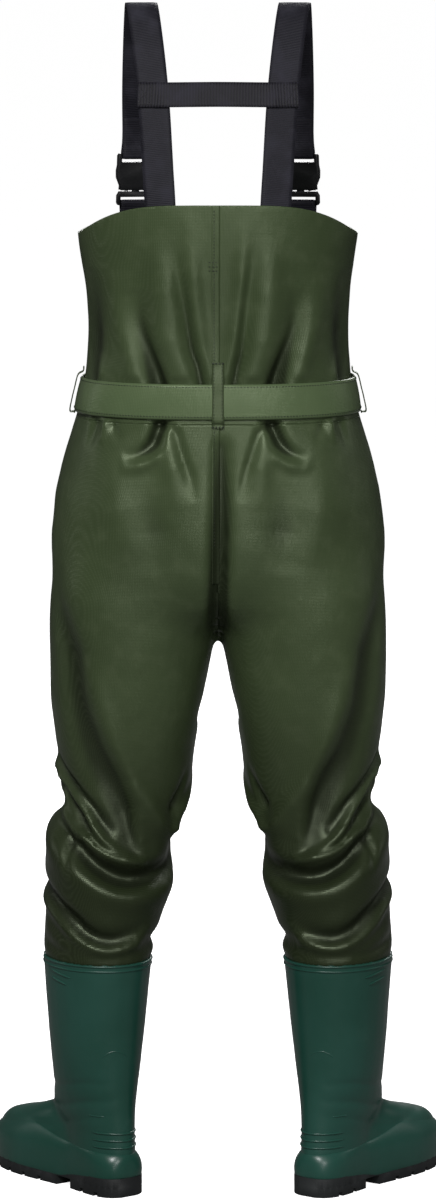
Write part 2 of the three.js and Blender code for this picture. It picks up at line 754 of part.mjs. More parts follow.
// Webbing ends that join the fabric belt to its buckle: end is 1 at the tongue, -1 at the socket.
function beltEnd(name, end) {
  const v = end > 0 ? barMiddle : buckleLength - barMiddle;
  const bar = beltBuckle.at(0, v, 0);
  const onBelt = (angle) => {
    const turned = end > 0 ? 90 - angle : 90 + angle;
    const off = beltOffset + beltThick + gap + curveRoom + webThick / 2;
    const lean = torsoPoint(turned, beltHighZ).sub(torsoPoint(turned, beltLowZ));
    return { c: torsoPoint(turned, beltMidZ, off), w: lean.normalize() };
  };
  const straight = { w: vec(0, 0, 1) };
  const beside = (dx, dn) => ({ c: vec(bar.x + end * dx, bar.y + dn, beltMidZ), ...straight });
  const frames = [
    onBelt(beltEndAngle + 14),
    onBelt(beltEndAngle + 7),
    onBelt(beltEndAngle + 0.5),
    beside(7, turnRadius - 0.6),
    ...turnRound(beltBuckle, v, end),
    beside(6, -turnRadius + 0.4),
    beside(15, -turnRadius + 1.2),
  ];
  for (const step of frames) if (step.w.z < 0) step.w.negate();
  for (const step of frames) if (Math.abs(step.w.z) < 0.5) step.w = vec(0, 0, 1);
  addGeometry(name, ribbon(frames, beltWidth - 1, webThick), webbing);
}
beltEnd("belt_end_tongue_side", 1);
beltEnd("belt_end_socket_side", -1);

// ---------------------------------------------------------------- boots
// Foot outline: distance from the heel, reach to the outer side, reach to the inner side.
const footRows = [
  [0, 9, 9],
  [0.012, 19, 19],
  [0.04, 28, 28],
  [0.1, 35.5, 35],
  [0.2, 38, 36],
  [0.34, 39, 33],
  [0.5, 47, 36],
  [0.66, 53.5, 45],
  [0.78, 52, 47.5],
  [0.88, 44, 42],
  [0.95, 32, 31],
  [0.985, 20, 20],
  [1, 9, 9],
].map(([share, outer, inner]) => [share * footLength, outer, inner]);

function footOutline(off, from, to, steps) {
  const spots = Array.from({ length: steps + 1 }, (_, i) => {
    const t = (1 - Math.cos((Math.PI * i) / steps)) / 2;
    return lerp(from, to, t);
  });
  const stretch = (footLength + 2 * off) / footLength;
  const place = (s) => (s - footLength / 2) * stretch + footLength / 2;
  const outer = spots.map((s) => [place(s), -(station(footRows, s)[0] + off)]);
  const inner = spots.map((s) => [place(s), station(footRows, s)[1] + off]);
  return [...outer, ...inner.reverse()];
}

function inFoot(side, geometry) {
  const [along, across] = [
    vec(side * footSin, footCos, 0),
    vec(-side * footCos, footSin, 0),
  ];
  const matrix = new THREE.Matrix4().makeBasis(along, across, vec(0, 0, 1));
  matrix.setPosition(vec(side * heelX, heelY, 0));
  return geometry.applyMatrix4(matrix);
}

// Height of the boot's top line along the foot.
const vampRows = [
  [0.3, 136],
  [0.42, 133],
  [0.54, 120],
  [0.66, 104],
  [0.78, 94],
  [0.88, 87],
  [0.95, 76],
  [0.985, 62],
  [1, 50],
].map(([share, height]) => [share * footLength, height]);

function vampRing(side, s, off, floor) {
  const [outer, inner] = station(footRows, s);
  const [height] = station(vampRows, s);
  const place = s + off * ((2 * s) / footLength - 1);
  const steps = 12;
  const power = 2 / 2.7;
  const ring = Array.from({ length: steps + 1 }, (_, i) => {
    const angle = (Math.PI * i) / steps;
    const [c, sn] = [Math.cos(angle), Math.sin(angle)];
    const reach = (c < 0 ? outer : inner) + off;
    const m = reach * Math.sign(c) * Math.abs(c) ** power;
    const z = floor + (height + off - floor) * sn ** power;
    return footPoint(side, place, m, z);
  });
  return ring;
}

function vampSolid(side, off, floor) {
  const shares = [0.2, 0.32, 0.42, 0.54, 0.66, 0.78, 0.86, 0.92, 0.96, 0.985, 1];
  return solid(loft(shares.map((share) => vampRing(side, share * footLength, off, floor))));
}

function shaftSolid(side, off, floor, top) {
  const shares = [0.17, 0.26, 0.34, 0.43, 0.52, 0.68];
  const heights = [floor, ...shares.map((share) => share * bootHeight), top];
  return solid(loft(heights.map((z) => shaftRing(side, z, off))));
}

const upperFloor = soleTop + gap;
const cavityFloor = upperFloor + bootWall;
for (const [name, side] of sides) {
  const outer = shaftSolid(side, 0, upperFloor, bootHeight).add(vampSolid(side, 0, upperFloor));
  const inner = shaftSolid(side, -bootWall, cavityFloor, bootHeight + 10).add(
    vampSolid(side, -bootWall, cavityFloor),
  );
  addSolid(`boot_upper_${name}`, outer.subtract(inner), bootPvc);

  const bandLow = bootHeight - topBandHeight - 3;
  const band = (off, over) =>
    solid(
      loft([
        shaftRing(side, bandLow - over, off),
        shaftRing(side, bandLow + topBandHeight + over, off),
      ]),
    );
  const bandShell = band(gap + topBandThick, 0).subtract(band(gap, 1));
  addSolid(`boot_top_band_${name}`, bandShell, bootPvc);

  const web = solid(plate(footOutline(soleEdge, 0, footLength, 26), heelBlockHeight, soleTop));
  const heel = solid(plate(footOutline(soleEdge, 0, heelBlockLength, 12), 0, heelBlockHeight + 1));
  const tread = plate(footOutline(soleEdge, forefootStart, footLength, 16), 0, heelBlockHeight + 1);
  let sole = web.add(heel).add(solid(tread));
  const groove = (s) =>
    block(
      vec(s - treadGrooveWidth / 2, -far, -5),
      vec(s + treadGrooveWidth / 2, far, treadGrooveDepth),
    );
  for (const s of [0.3, 0.66]) sole = sole.subtract(groove(s * heelBlockLength));
  const forefoot = footLength - forefootStart;
  for (const share of [0.2, 0.38, 0.56, 0.74, 0.9]) {
    sole = sole.subtract(groove(forefootStart + share * forefoot));
  }
  addGeometry(`outsole_${name}`, inFoot(side, fromSolid(sole)), solePvc);

  const bed = cavityFloor + gap;
  const tight = -(bootWall + gap + 0.2);
  const last = shaftSolid(side, tight, cavityFloor, bootHeight / 2).add(
    vampSolid(side, tight, cavityFloor),
  );
  const slab = block(vec(-far, -far, bed), vec(far, far, bed + insoleThick));
  addSolid(`insole_${name}`, last.intersect(slab), insoleFoam);
}

// ---------------------------------------------------------------- place in the frame
// The origin is on the ground, under the middle of the whole object.
const box = new THREE.Box3().setFromObject(waders);
waders.position.set(-(box.min.x + box.max.x) / 2, -(box.min.y + box.max.y) / 2, -box.min.z);

export default waders;
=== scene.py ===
# %% [markdown]
# # Chest waders with welded boots
# A pair of waders is one soft shell of coated cloth, welded to two moulded boots and hung
# from webbing straps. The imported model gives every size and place, so it is loaded first
# and kept as a fixed frame, and each soft or moulded piece is then made round it.

import math

import bmesh
import bpy
import numpy as np
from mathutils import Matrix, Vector, noise
from mathutils.bvhtree import BVHTree


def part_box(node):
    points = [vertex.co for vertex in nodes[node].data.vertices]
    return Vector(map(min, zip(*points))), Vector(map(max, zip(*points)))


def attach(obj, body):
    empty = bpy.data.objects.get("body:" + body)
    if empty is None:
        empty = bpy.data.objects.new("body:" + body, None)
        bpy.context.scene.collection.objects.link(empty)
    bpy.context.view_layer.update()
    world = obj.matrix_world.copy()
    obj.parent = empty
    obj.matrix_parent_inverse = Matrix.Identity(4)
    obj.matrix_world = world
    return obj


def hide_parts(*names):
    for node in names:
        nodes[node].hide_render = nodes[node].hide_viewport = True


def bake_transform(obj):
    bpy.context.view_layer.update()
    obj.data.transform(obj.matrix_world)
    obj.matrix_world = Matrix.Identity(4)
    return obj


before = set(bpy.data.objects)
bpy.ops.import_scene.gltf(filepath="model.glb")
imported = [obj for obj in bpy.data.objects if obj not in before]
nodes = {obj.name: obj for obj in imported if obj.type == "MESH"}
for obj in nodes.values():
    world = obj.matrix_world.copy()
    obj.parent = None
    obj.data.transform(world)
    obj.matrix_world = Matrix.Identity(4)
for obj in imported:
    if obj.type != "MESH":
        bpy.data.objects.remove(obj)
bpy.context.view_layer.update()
SIDES = (("left", -1), ("right", 1))

# %% [markdown]
# ## Camera and light
# The waders stand as if worn and are seen from behind, from a little above the bib's top.
# A long lens far away keeps the legs parallel. Big soft lamps give the broad, gentle
# highlights that show how satin the coated cloth is, and one from each side keeps the
# outline of the boots readable. The room is white to the camera and dim to everything else.

# %% Camera
scene = bpy.context.scene
AIM = Vector((0, 0, 0.862))
CAMERA_PLACE = (0, -7.6, 1.95)


def look(obj, place, target=AIM):
    """Puts a camera or lamp at a place, looking at a target."""
    obj.location = place
    obj.rotation_euler = (Vector(target) - Vector(place)).to_track_quat("-Z", "Y").to_euler()
    scene.collection.objects.link(obj)


camera_data = bpy.data.cameras.new("camera")
camera_data.sensor_width = 36
camera_data.lens = 158.4
camera_data.clip_end = 200
camera = bpy.data.objects.new("camera", camera_data)
look(camera, CAMERA_PLACE)
scene.camera = camera

# %% Lamps and the pale room
ROOM_LIGHT = 0.07
LAMPS = (  # name, place, size in metres, watts
    ("key_lamp", (-1.0, -4.1, 4.2), 1.2, 168),
    ("fill_lamp", (1.3, -4.9, 2.6), 1.3, 62),
    ("back_lamp", (0.8, 4.2, 3.6), 2.4, 150),
    ("left_lamp", (-5.0, 0.9, 2.6), 2.0, 12),
    ("right_lamp", (5.0, 0.9, 2.6), 2.0, 12),
    ("low_lamp", (0.3, -5.6, 0.9), 1.2, 12),
)
for name, place, size, power in LAMPS:
    lamp_data = bpy.data.lights.new(name, "AREA")
    lamp_data.size = size
    lamp_data.energy = power
    look(bpy.data.objects.new(name, lamp_data), place)

world = bpy.data.worlds.new("pale_room")
scene.world = world
world.use_nodes = True
air = world.node_tree
seen_as = air.nodes.new("ShaderNodeLightPath")
brightness = air.nodes.new("ShaderNodeMapRange")
brightness.inputs["To Min"].default_value = ROOM_LIGHT
brightness.inputs["To Max"].default_value = 1.0
air.links.new(seen_as.outputs["Is Camera Ray"], brightness.inputs["Value"])
air.links.new(brightness.outputs["Result"], air.nodes["Background"].inputs["Strength"])
air.nodes["Background"].inputs["Color"].default_value = (1, 1, 1, 1)
scene.view_settings.view_transform = "Standard"
print("lamps", [lamp[0] for lamp in LAMPS])

# %% [markdown]
# ## Small helpers
# Every finished piece sits at the origin with its place in its mesh, so there are helpers
# that make a mesh object, bake its modifiers in and move its points.


# %% Mesh helpers
WELD = 1e-5


def mesh_object(name, points, faces):
    """A linked object from plain points and faces."""
    mesh = bpy.data.meshes.new(name)
    mesh.from_pydata([tuple(p) for p in points], [], faces)
    mesh.validate()
    obj = bpy.data.objects.new(name, mesh)
    scene.collection.objects.link(obj)
    return obj


def shape_object(name, shape):
    """A linked object from a bmesh, which is used up."""
    mesh = bpy.data.meshes.new(name)
    shape.to_mesh(mesh)
    shape.free()
    obj = bpy.data.objects.new(name, mesh)
    scene.collection.objects.link(obj)
    return obj


def welded(node):
    """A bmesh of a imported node, with its doubled corners joined."""
    shape = bmesh.new()
    shape.from_mesh(nodes[node].data)
    bmesh.ops.remove_doubles(shape, verts=shape.verts, dist=WELD)
    return shape


def baked(obj):
    """Replaces an object's modifiers by the mesh they make."""
    graph = bpy.context.evaluated_depsgraph_get()
    mesh = bpy.data.meshes.new_from_object(obj.evaluated_get(graph))
    old = obj.data
    obj.modifiers.clear()
    obj.data = mesh
    bpy.data.meshes.remove(old)
    mesh.name = obj.name
    return obj


def modify(obj, kind, **settings):
    """Adds one modifier with its settings."""
    modifier = obj.modifiers.new(kind.lower(), kind)
    for key, value in settings.items():
        setattr(modifier, key, value)
    return obj


def coordinates(mesh):
    """The mesh's points as an array."""
    flat = np.zeros(len(mesh.vertices) * 3)
    mesh.vertices.foreach_get("co", flat)
    return flat.reshape(-1, 3)


def normals(mesh):
    """The normals at the mesh's points as an array."""
    flat = np.zeros(len(mesh.vertices) * 3, np.float32)
    mesh.vertex_normals.foreach_get("vector", flat)
    return flat.reshape(-1, 3).astype(float)


def move_points(mesh, points):
    """Writes an array back as the mesh's points."""
    mesh.vertices.foreach_set("co", points.reshape(-1))
    mesh.update()


def smooth_faces(obj):
    """Shades a whole piece smooth."""
    obj.data.polygons.foreach_set("use_smooth", [True] * len(obj.data.polygons))
    return obj


def triangles(obj):
    """How many triangles a piece comes to."""
    return sum(len(p.vertices) - 2 for p in obj.data.polygons)


def ramp(values, low, high):
    """0 before low, 1 after high, and a smooth turn between them."""
    t = np.clip((values - low) / (high - low), 0, 1)
    return t * t * (3 - 2 * t)


# %% [markdown]
# ## Reading the frame
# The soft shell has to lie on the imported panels. Rays sent in from all round find how far
# the outside of a panel is from an upright axis, and dropping the finest ripples of that
# ring takes the flat facets away. The strips of webbing and fabric are read too: each is a
# row of four-cornered sections, which can be walked from one end to the other.


# %% Rays onto the panels
def tree_of(*objs):
    """One search tree over several objects."""
    points, faces = [], []
    for obj in objs:
        start = len(points)
        points += [v.co.copy() for v in obj.data.vertices]
        faces += [[start + i for i in p.vertices] for p in obj.data.polygons]
    return BVHTree.FromPolygons(points, faces)


def search_tree(*names):
    """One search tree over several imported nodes."""
    return tree_of(*(nodes[name] for name in names))


REACH = 0.5
NEAREST = 0.01  # a hit nearer to the axis than this is on the far wall
RING_STEPS = 72
RIPPLES = 10
OFF_SEAM = 0.01  # of a step, so that no ray slips between two panels
CLEFT = 0.02  # radius between the legs, where the lowest rays meet no cloth


def compass(i):
    """Outward direction i of a ring. 0 is straight back, and it turns towards +X."""
    angle = 2 * math.pi * (i + OFF_SEAM) / RING_STEPS
    return Vector((math.sin(angle), -math.cos(angle), 0))


def outside(tree, axis, outwards):
    """From a place on an axis to the outside of a mesh in one direction, or None."""
    hit = tree.ray_cast(axis + outwards * REACH, -outwards)[0]
    if hit is None or (hit - axis).dot(outwards) < NEAREST:
        return None
    return hit - axis


def ring_radii(tree, middle, z, before=None):
    """How far a panel's outside is from an upright axis, all round at one height."""
    radii = np.zeros(RING_STEPS)
    for i in range(RING_STEPS):
        arm = outside(tree, Vector((*middle, z)), compass(i))
        spare = CLEFT if before is None else before[i]
        radii[i] = spare if arm is None else arm.length
    waves = np.fft.rfft(radii)
    waves[RIPPLES:] = 0
    return np.fft.irfft(waves, RING_STEPS)


def ring_points(middle, z, radii):
    """The ring's points in the frame."""
    return [Vector((*middle, z)) + compass(i) * radii[i] for i in range(RING_STEPS)]


def closed_loft(name, rings):
    """A closed solid through rings of points, each end closed by a fan."""
    count = len(rings[0])
    points = [p for ring in rings for p in ring]
    faces = []
    top = (len(rings) - 1) * count
    for a in range(0, top, count):
        b = a + count
        for i in range(count):
            j = (i + 1) % count
            faces.append((a + i, a + j, b + j, b + i))
    for first, ring in ((0, rings[0]), (top, rings[-1])):
        points.append(sum(ring, Vector()) / count)
        hub = len(points) - 1
        for i in range(count):
            pair = (first + (i + 1) % count, first + i)
            faces.append((*pair, hub) if first == 0 else (*reversed(pair), hub))
    return mesh_object(name, points, faces)


# %% Walk along a packed strip
def strip_sections(node):
    """A strip's sections from end to end, as (middle, its width as a vector, thickness)."""
    shape = welded(node)

    def is_end(v):
        flat = all(f.normal.dot(v.link_faces[0].normal) > 0.9999 for f in v.link_faces)
        return len(v.link_edges) == 4 and flat

    now = [next(v for v in shape.verts if is_end(v))]
    seen, layers = set(now), []
    while now:
        following = []
        for v in now:
            for edge in v.link_edges:
                other = edge.other_vert(v)
                if other not in seen:
                    seen.add(other)
                    following.append(other)
        layers.append([v.co.copy() for v in following])
        now = following
    sections = []
    for corners in (layer for layer in layers if len(layer) == 4):
        first = corners[0]
        near, far, _ = sorted(corners[1:], key=lambda p: (p - first).length)
        across = far - first
        if sections and across.dot(sections[-1][1]) < 0:
            across = -across
        middle = sum(corners, Vector()) / 4
        sections.append((middle, across, (near - first).length))
    shape.free()
    if sections[0][0].z > sections[-1][0].z:
        sections.reverse()
    return sections


# %% [markdown]
# ## The shell of coated cloth
# The real shell is four welded panels: two that make the bib and two that make the legs.
# Cloth is thin and unbroken, so the whole body is made first as one closed form, from
# rings measured on the panels. A voxel remesh joins the legs to the seat in one skin, and
# the folds go on before it is cut along its hems and seams, so they run across the seams.

# %% Rings of the body and the legs
BIB = ("bib_panel_left", "bib_panel_right")
LEGS = ("leg_panel_left", "leg_panel_right")
waist_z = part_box("bib_panel_left")[0].z
cuff_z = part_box("leg_panel_left")[0].z
seat_low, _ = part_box("seat_seam_strip")
bib_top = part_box("bib_panel_left")[1].z
crotch_z = seat_low.z - 0.085
body_tree = search_tree(*BIB, *LEGS)
body_axis = (0.0, 0.0)
RING_GAP = 0.009
LEVEL_TOP = 0.05  # the topmost full ring is this far under the bib's top
LEG_AXIS_X = ((cuff_z, 0.46, 0.6, crotch_z), (0.162, 0.159, 0.141, 0.1245))
LEG_AXIS_Y = ((cuff_z, 0.6, crotch_z), (-0.045, -0.005, -0.003))

body_heights = [*np.arange(crotch_z, bib_top - LEVEL_TOP - 0.002, RING_GAP), bib_top - LEVEL_TOP]
body_rings, radii = [], None
for z in body_heights:
    radii = ring_radii(body_tree, body_axis, z, radii)
    body_rings.append(radii)
body_heights.append(bib_top + 0.02)  # one more ring above the hem, spread as the bib spreads
body_rings.append(body_rings[-1] + (body_rings[-1] - body_rings[-4]) * 0.35)

leg_rows = {}
for side, sign in SIDES:
    tree = search_tree(f"leg_panel_{side}")
    rows, radii = [], None
    for z in np.arange(cuff_z + 0.0005, crotch_z + 0.02, RING_GAP):
        x = sign * np.interp(z, *LEG_AXIS_X)
        y = float(np.interp(z, *LEG_AXIS_Y))
        radii = ring_radii(tree, (x, y), z, radii)
        points = ring_points((x, y), z, radii)
        centre = sum(points, Vector()) / RING_STEPS
        rows.append((float(z), centre.x, centre.y, float(radii.mean()), points))
    leg_rows[side] = rows
print("body rings", len(body_rings), "leg rings", len(leg_rows["left"]))

# %% One skin over all of it
VOXEL = 0.0078
body = [ring_points(body_axis, z, r) for z, r in zip(body_heights, body_rings)]
parts = [closed_loft("body_core", body)]
for side, sign in SIDES:
    rings = [row[4] for row in leg_rows[side]]
    low = [p - Vector((0, 0, 0.02)) for p in rings[0]]
    parts.append(closed_loft(f"leg_core_{side}", [low] + rings))
with bpy.context.temp_override(active_object=parts[0], selected_editable_objects=parts):
    bpy.ops.object.join()
shell = parts[0]
modify(shell, "REMESH", mode="VOXEL", voxel_size=VOXEL)
modify(shell, "SMOOTH", factor=0.5, iterations=14)
modify(shell, "SUBSURF", levels=1, render_levels=1)
modify(shell, "SMOOTH", factor=0.5, iterations=6)
baked(shell)
print("skin points", len(shell.data.vertices))

# %% [markdown]
# ## Folds
# Coated cloth creases where it is pinched, at the belt and behind the knees, and runs smooth
# in between. Each fold is a stroke: a smooth line over the cloth, how deep it is along that
# line, and how wide it is on either side. A fold with one narrow side has the crisp edge
# that a real crease has. Strokes on the body are given as places across and up, and those
# on a leg as degrees round from straight behind and height, so they wrap past the outline.


# %% Strokes
def through(points, count=28):
    """A smooth line through a few points, with count points on it."""
    p = np.array([points[0], *points, points[-1]], float)
    line = []
    for i in range(1, len(p) - 2):
        for t in np.linspace(0, 1, max(count // (len(points) - 1), 3), endpoint=False):
            a, b, c, d = p[i - 1 : i + 3]
            line.append(
                0.5 * (2 * b + (c - a) * t + (2 * a - 5 * b + 4 * c - d) * t**2
                       + (3 * b - a - 3 * c + d) * t**3)
            )
    line.append(p[-2])
    return np.array(line)


def stroke(place, points, depths, widths):
    """How far a fold moves each place. widths are its two sides, left of its run first."""
    line = through(points)
    near = np.full(len(place), np.inf)
    along = np.zeros(len(place))
    side = np.zeros(len(place))
    reach = 3 * max(widths)
    low, high = line.min(0) - reach, line.max(0) + reach
    inside = np.all((place > low) & (place < high), axis=1)
    p = place[inside]
    best, share, hand = near[inside], along[inside], side[inside]
    for i, (a, b) in enumerate(zip(line, line[1:])):
        run = b - a
        t = np.clip(((p - a) @ run) / max(run @ run, 1e-12), 0, 1)
        gap = p - a - t[:, None] * run
        distance = np.hypot(gap[:, 0], gap[:, 1])
        closer = distance < best
        best = np.where(closer, distance, best)
        share = np.where(closer, (i + t) / (len(line) - 1), share)
        hand = np.where(closer, np.sign(run[0] * gap[:, 1] - run[1] * gap[:, 0]), hand)
    width = np.where(hand > 0, widths[0], widths[1])
    depth = np.interp(share, np.linspace(0, 1, len(depths)), depths)
    moved = np.zeros(len(place))
    moved[inside] = depth * np.exp(-((best / width) ** 2))
    return moved


def both(line, depths, widths):
    """A fold on the left of the body and its mirror image on the right."""
    return (line, depths, widths), ([(-x, z) for x, z in line], depths, widths[::-1])


# %% The folds themselves, in millimetres of depth and width
BACK_FOLDS = (
    # crisp creases that rise from the belt beside the centre seam
    (((-21, 1180), (-28, 1215), (-37, 1240), (-46, 1293), (-55, 1343), (-62, 1395)),
     (-8, -9, -8, -6, -3, 0), (10, 6)),
    (((20, 1180), (27, 1215), (33, 1240), (40, 1300), (45, 1345), (50, 1390)),
     (-8, -9, -8, -5, -2, 0), (6, 10)),
    (((-12, 1185), (-26, 1260), (-35, 1340), (-40, 1420)), (2, 4, 4, 1), (11, 11)),
    (((12, 1185), (25, 1260), (33, 1340), (37, 1420)), (2, 4, 4, 1), (11, 11)),
    # broad ridges next to them
    (((-46, 1188), (-70, 1250), (-80, 1320), (-82, 1400)), (3, 7, 6, 1), (20, 24)),
    (((45, 1188), (64, 1250), (73, 1320), (74, 1400)), (3, 7, 6, 1), (24, 20)),
    # dark hollows where the belt pinches the cloth
    (((-82, 1180), (-90, 1205), (-100, 1235), (-110, 1270), (-117, 1325)),
     (-15, -13, -9, -6, 0), (17, 11)),
    (((79, 1180), (86, 1205), (97, 1235), (107, 1270), (114, 1325)),
     (-15, -13, -9, -6, 0), (11, 17)),
    (((-112, 1186), (-122, 1230), (-140, 1290), (-148, 1350)), (3, 5, 4, 0), (18, 18)),
    (((109, 1186), (119, 1230), (137, 1290), (146, 1350)), (3, 5, 4, 0), (18, 18)),
    # hollow flanks, with a short pleat at the belt
    *both(((-183, 1190), (-178, 1260), (-181, 1350)), (-5, -6, 0), (15, 12)),
    *both(((-167, 1184), (-172, 1232)), (4, 0), (8, 6)),
    # under the belt: pinched hollows that run outwards
    (((-86, 1130), (-96, 1106), (-113, 1090), (-134, 1082)), (-13, -11, -6, 0), (13, 8)),
    (((80, 1130), (92, 1106), (108, 1090), (128, 1082)), (-13, -11, -6, 0), (8, 13)),
    (((-88, 1085), (-112, 1074), (-140, 1070)), (4, 5, 0), (9, 12)),
    (((84, 1085), (106, 1074), (134, 1070)), (4, 5, 0), (12, 9)),
    # fine darts either side of the seam
    (((-60, 1122), (-49, 1085), (-40, 1060), (-33, 1022)), (-4, -4, -3, 0), (5, 8)),
    (((58, 1122), (46, 1085), (38, 1060), (31, 1022)), (-4, -4, -3, 0), (8, 5)),
    (((-74, 1118), (-66, 1070), (-62, 1010)), (3, 4, 0), (14, 14)),
    (((72, 1118), (63, 1070), (60, 1010)), (3, 4, 0), (14, 14)),
    # gathers by the side loops
    *both(((-160, 1130), (-167, 1100)), (4, 0), (5, 5)),
    *both(((-176, 1130), (-186, 1090)), (-4, 0), (6, 6)),
    *both(((-150, 1128), (-140, 1104)), (-3, 0), (6, 6)),
    # soft swell of the seat
    *both(((-148, 1090), (-146, 1010), (-128, 930)), (2, 5, 1), (34, 34)),
    *both(((-100, 1050), (-96, 980), (-84, 920)), (-1, -4, 0), (30, 30)),
    # the cleft of the seat
    (((4, 1100), (4, 1030), (2, 950), (0, 880), (0, 800)), (-5, -8, -12, -15, -12), (13, 13)),
)
FRONT_FOLDS = (
    (((-30, 1184), (-42, 1240), (-50, 1310)), (-8, -7, 0), (9, 12)),
    (((34, 1184), (48, 1236), (52, 1300)), (-8, -6, 0), (12, 9)),
    (((-92, 1184), (-104, 1230), (-112, 1290)), (-11, -7, 0), (14, 12)),
    (((88, 1184), (98, 1228), (110, 1295)), (-11, -7, 0), (12, 14)),
    (((-62, 1188), (-76, 1250), (-80, 1330)), (3, 6, 0), (18, 18)),
    (((62, 1188), (74, 1250), (82, 1330)), (3, 6, 0), (18, 18)),
    (((-84, 1130), (-100, 1100), (-124, 1085)), (-10, -6, 0), (10, 12)),
    (((80, 1130), (98, 1098), (120, 1086)), (-10, -6, 0), (12, 10)),
    *both(((-46, 1124), (-36, 1070), (-30, 1010)), (-3, -3, 0), (8, 6)),
    (((-2, 1000), (0, 930), (0, 860), (0, 800)), (-2, -8, -12, -12), (13, 13)),
    *both(((-60, 985), (-100, 930), (-150, 890)), (-1, -4, 0), (16, 20)),
)
LEG_FOLDS = (
    # the long drag line from the outer hip to the back of the knee
    (((68, 915), (54, 850), (42, 798), (34, 723), (23, 663), (9, 618), (-7, 573), (-22, 520)),
     (0, -4, -6, -6, -7, -9, -10, -4), (26, 24)),
    (((30, 800), (12, 694), (-4, 620), (-23, 576), (-38, 550), (-54, 535)),
     (0, 5, 7, 9, 8, 5), (20, 15)),
    (((-6, 602), (-17, 556), (-28, 515)), (3, 6, 2), (8, 11)),
    # the small v at the inner side
    (((-98, 610), (-70, 566), (-58, 540)), (0, 6, 6), (9, 9)),
    (((-62, 612), (-54, 570)), (-2, -6), (10, 8)),
    # two ridges that sweep in from the outer side, with a tight crease between them
    (((96, 628), (70, 610), (37, 575), (17, 539), (-4, 509), (-26, 495)),
     (2, 8, 8, 8, 7, 2), (11, 7)),
    (((84, 642), (52, 602), (28, 572), (6, 540)), (-2, -7, -7, -4), (12, 10)),
    (((82, 612), (59, 590), (33, 556), (12, 522), (-8, 503)), (-4, -9, -9, -8, -3), (6, 6)),
    (((62, 562), (39, 538), (24, 527), (5, 506), (-12, 496), (-31, 492)),
     (3, 8, 8, 8, 7, 3), (8, 7)),
    # the deep crescent behind the knee and the swell under it
    (((62, 548), (37, 525), (22, 502), (3, 482), (-16, 470), (-41, 470), (-68, 480), (-98, 500)),
     (-2, -8, -13, -15, -15, -13, -9, -3), (14, 18)),
    (((98, 535), (66, 515), (20, 472), (-2, 456), (-25, 450), (-56, 455), (-88, 470)),
     (3, 6, 6, 6, 6, 5, 1), (24, 20)),
    (((46, 540), (40, 508), (34, 474)), (-1, -4, 0), (5, 5)),
    # the lower crescent round the calf
    (((112, 462), (69, 437), (36, 410), (15, 390), (-7, 382), (-35, 388)),
     (-3, -9, -10, -9, -8, -3), (24, 14)),
    (((112, 442), (70, 422), (44, 401), (21, 380), (-4, 368), (-27, 373), (-50, 388)),
     (2, 8, 8, 7, 7, 6, 1), (10, 9)),
    (((80, 370), (30, 352), (-20, 350), (-60, 358)), (-2, -5, -5, -2), (10, 10)),
    # pinches at the outline
    (((-115, 715), (-96, 704), (-76, 698)), (-2, -7, -1), (14, 14)),
    (((125, 558), (98, 566), (74, 574)), (-3, -8, -3), (12, 12)),
    (((-120, 532), (-96, 520), (-70, 512)), (-3, -8, -4), (12, 12)),
    (((-118, 384), (-90, 376), (-50, 374)), (-2, -6, -2), (11, 11)),
    # softer creases round the front of the knee and calf
    (((124, 604), (152, 586), (190, 574), (228, 590)), (-2, -6, -6, -1), (14, 16)),
    (((130, 560), (165, 548), (205, 552)), (1, 5, 1), (16, 16)),
    (((126, 530), (165, 514), (206, 522)), (-2, -6, -1), (14, 16)),
    (((116, 425), (150, 402), (195, 396), (234, 402)), (-2, -6, -6, -1), (14, 16)),
    (((150, 820), (166, 730), (176, 650)), (0, -5, 0), (30, 30)),
)
print("folds", len(BACK_FOLDS), len(FRONT_FOLDS), len(LEG_FOLDS), "a leg")

# %% Move the cloth
points, outwards = coordinates(shell.data), normals(shell.data)
height = points[:, 2]
moved = np.zeros(len(points))
TORSO_DEPTH, LEG_DEPTH = 1.5, 1.6  # how strongly the folds are pressed in
SWAY = 4  # how many degrees and millimetres the right leg's folds differ from the left's
BEHIND = 60  # degrees from straight behind within which they also turn by that
# Painted shade: pressed-in folds are darkened in the cloth's colour, fully at this depth
FULL_SHADE_DEPTH = 12  # millimetres of depth at which a hollow is at its darkest
for folds, face in ((BACK_FOLDS, -1), (FRONT_FOLDS, 1)):
    # these folds fade out round the sides and below the seat
    facing = ramp(face * outwards[:, 1], 0.0, 0.45) * ramp(height, 0.78, 0.86)
    for line, depths, widths in folds:
        place = points[:, (0, 2)] * 1000
        moved += TORSO_DEPTH * facing * stroke(place, line, depths, widths)
for side, sign in SIDES:
    rows = np.array([row[:4] for row in leg_rows[side]])
    out = sign * (points[:, 0] - np.interp(height, rows[:, 0], rows[:, 1]))
    back = np.interp(height, rows[:, 0], rows[:, 2]) - points[:, 1]
    round_leg = np.degrees(np.arctan2(out, back))
    radius = np.interp(height, rows[:, 0], rows[:, 3])
    # these stay on their own leg and fade out over the seat
    here = ramp(sign * points[:, 0], -0.002, 0.01) * (1 - ramp(height, 0.86, 0.98))
    sway = SWAY if side == "right" else 0
    for line, depths, widths in LEG_FOLDS:
        angles = [a + (sway if abs(a) < BEHIND else 0) for a, _ in line]
        centre = sum(angles) / len(angles)
        turned = (round_leg - centre + 180) % 360 - 180
        place = np.stack([np.radians(turned) * radius, height], 1) * 1000
        scale = np.interp([z / 1000 for _, z in line], rows[:, 0], rows[:, 3]) * 1000
        flat = [
            (math.radians(a - centre) * r, z + sway) for a, (_, z), r in zip(angles, line, scale)
        ]
        moved += LEG_DEPTH * here * stroke(place, flat, depths, widths)

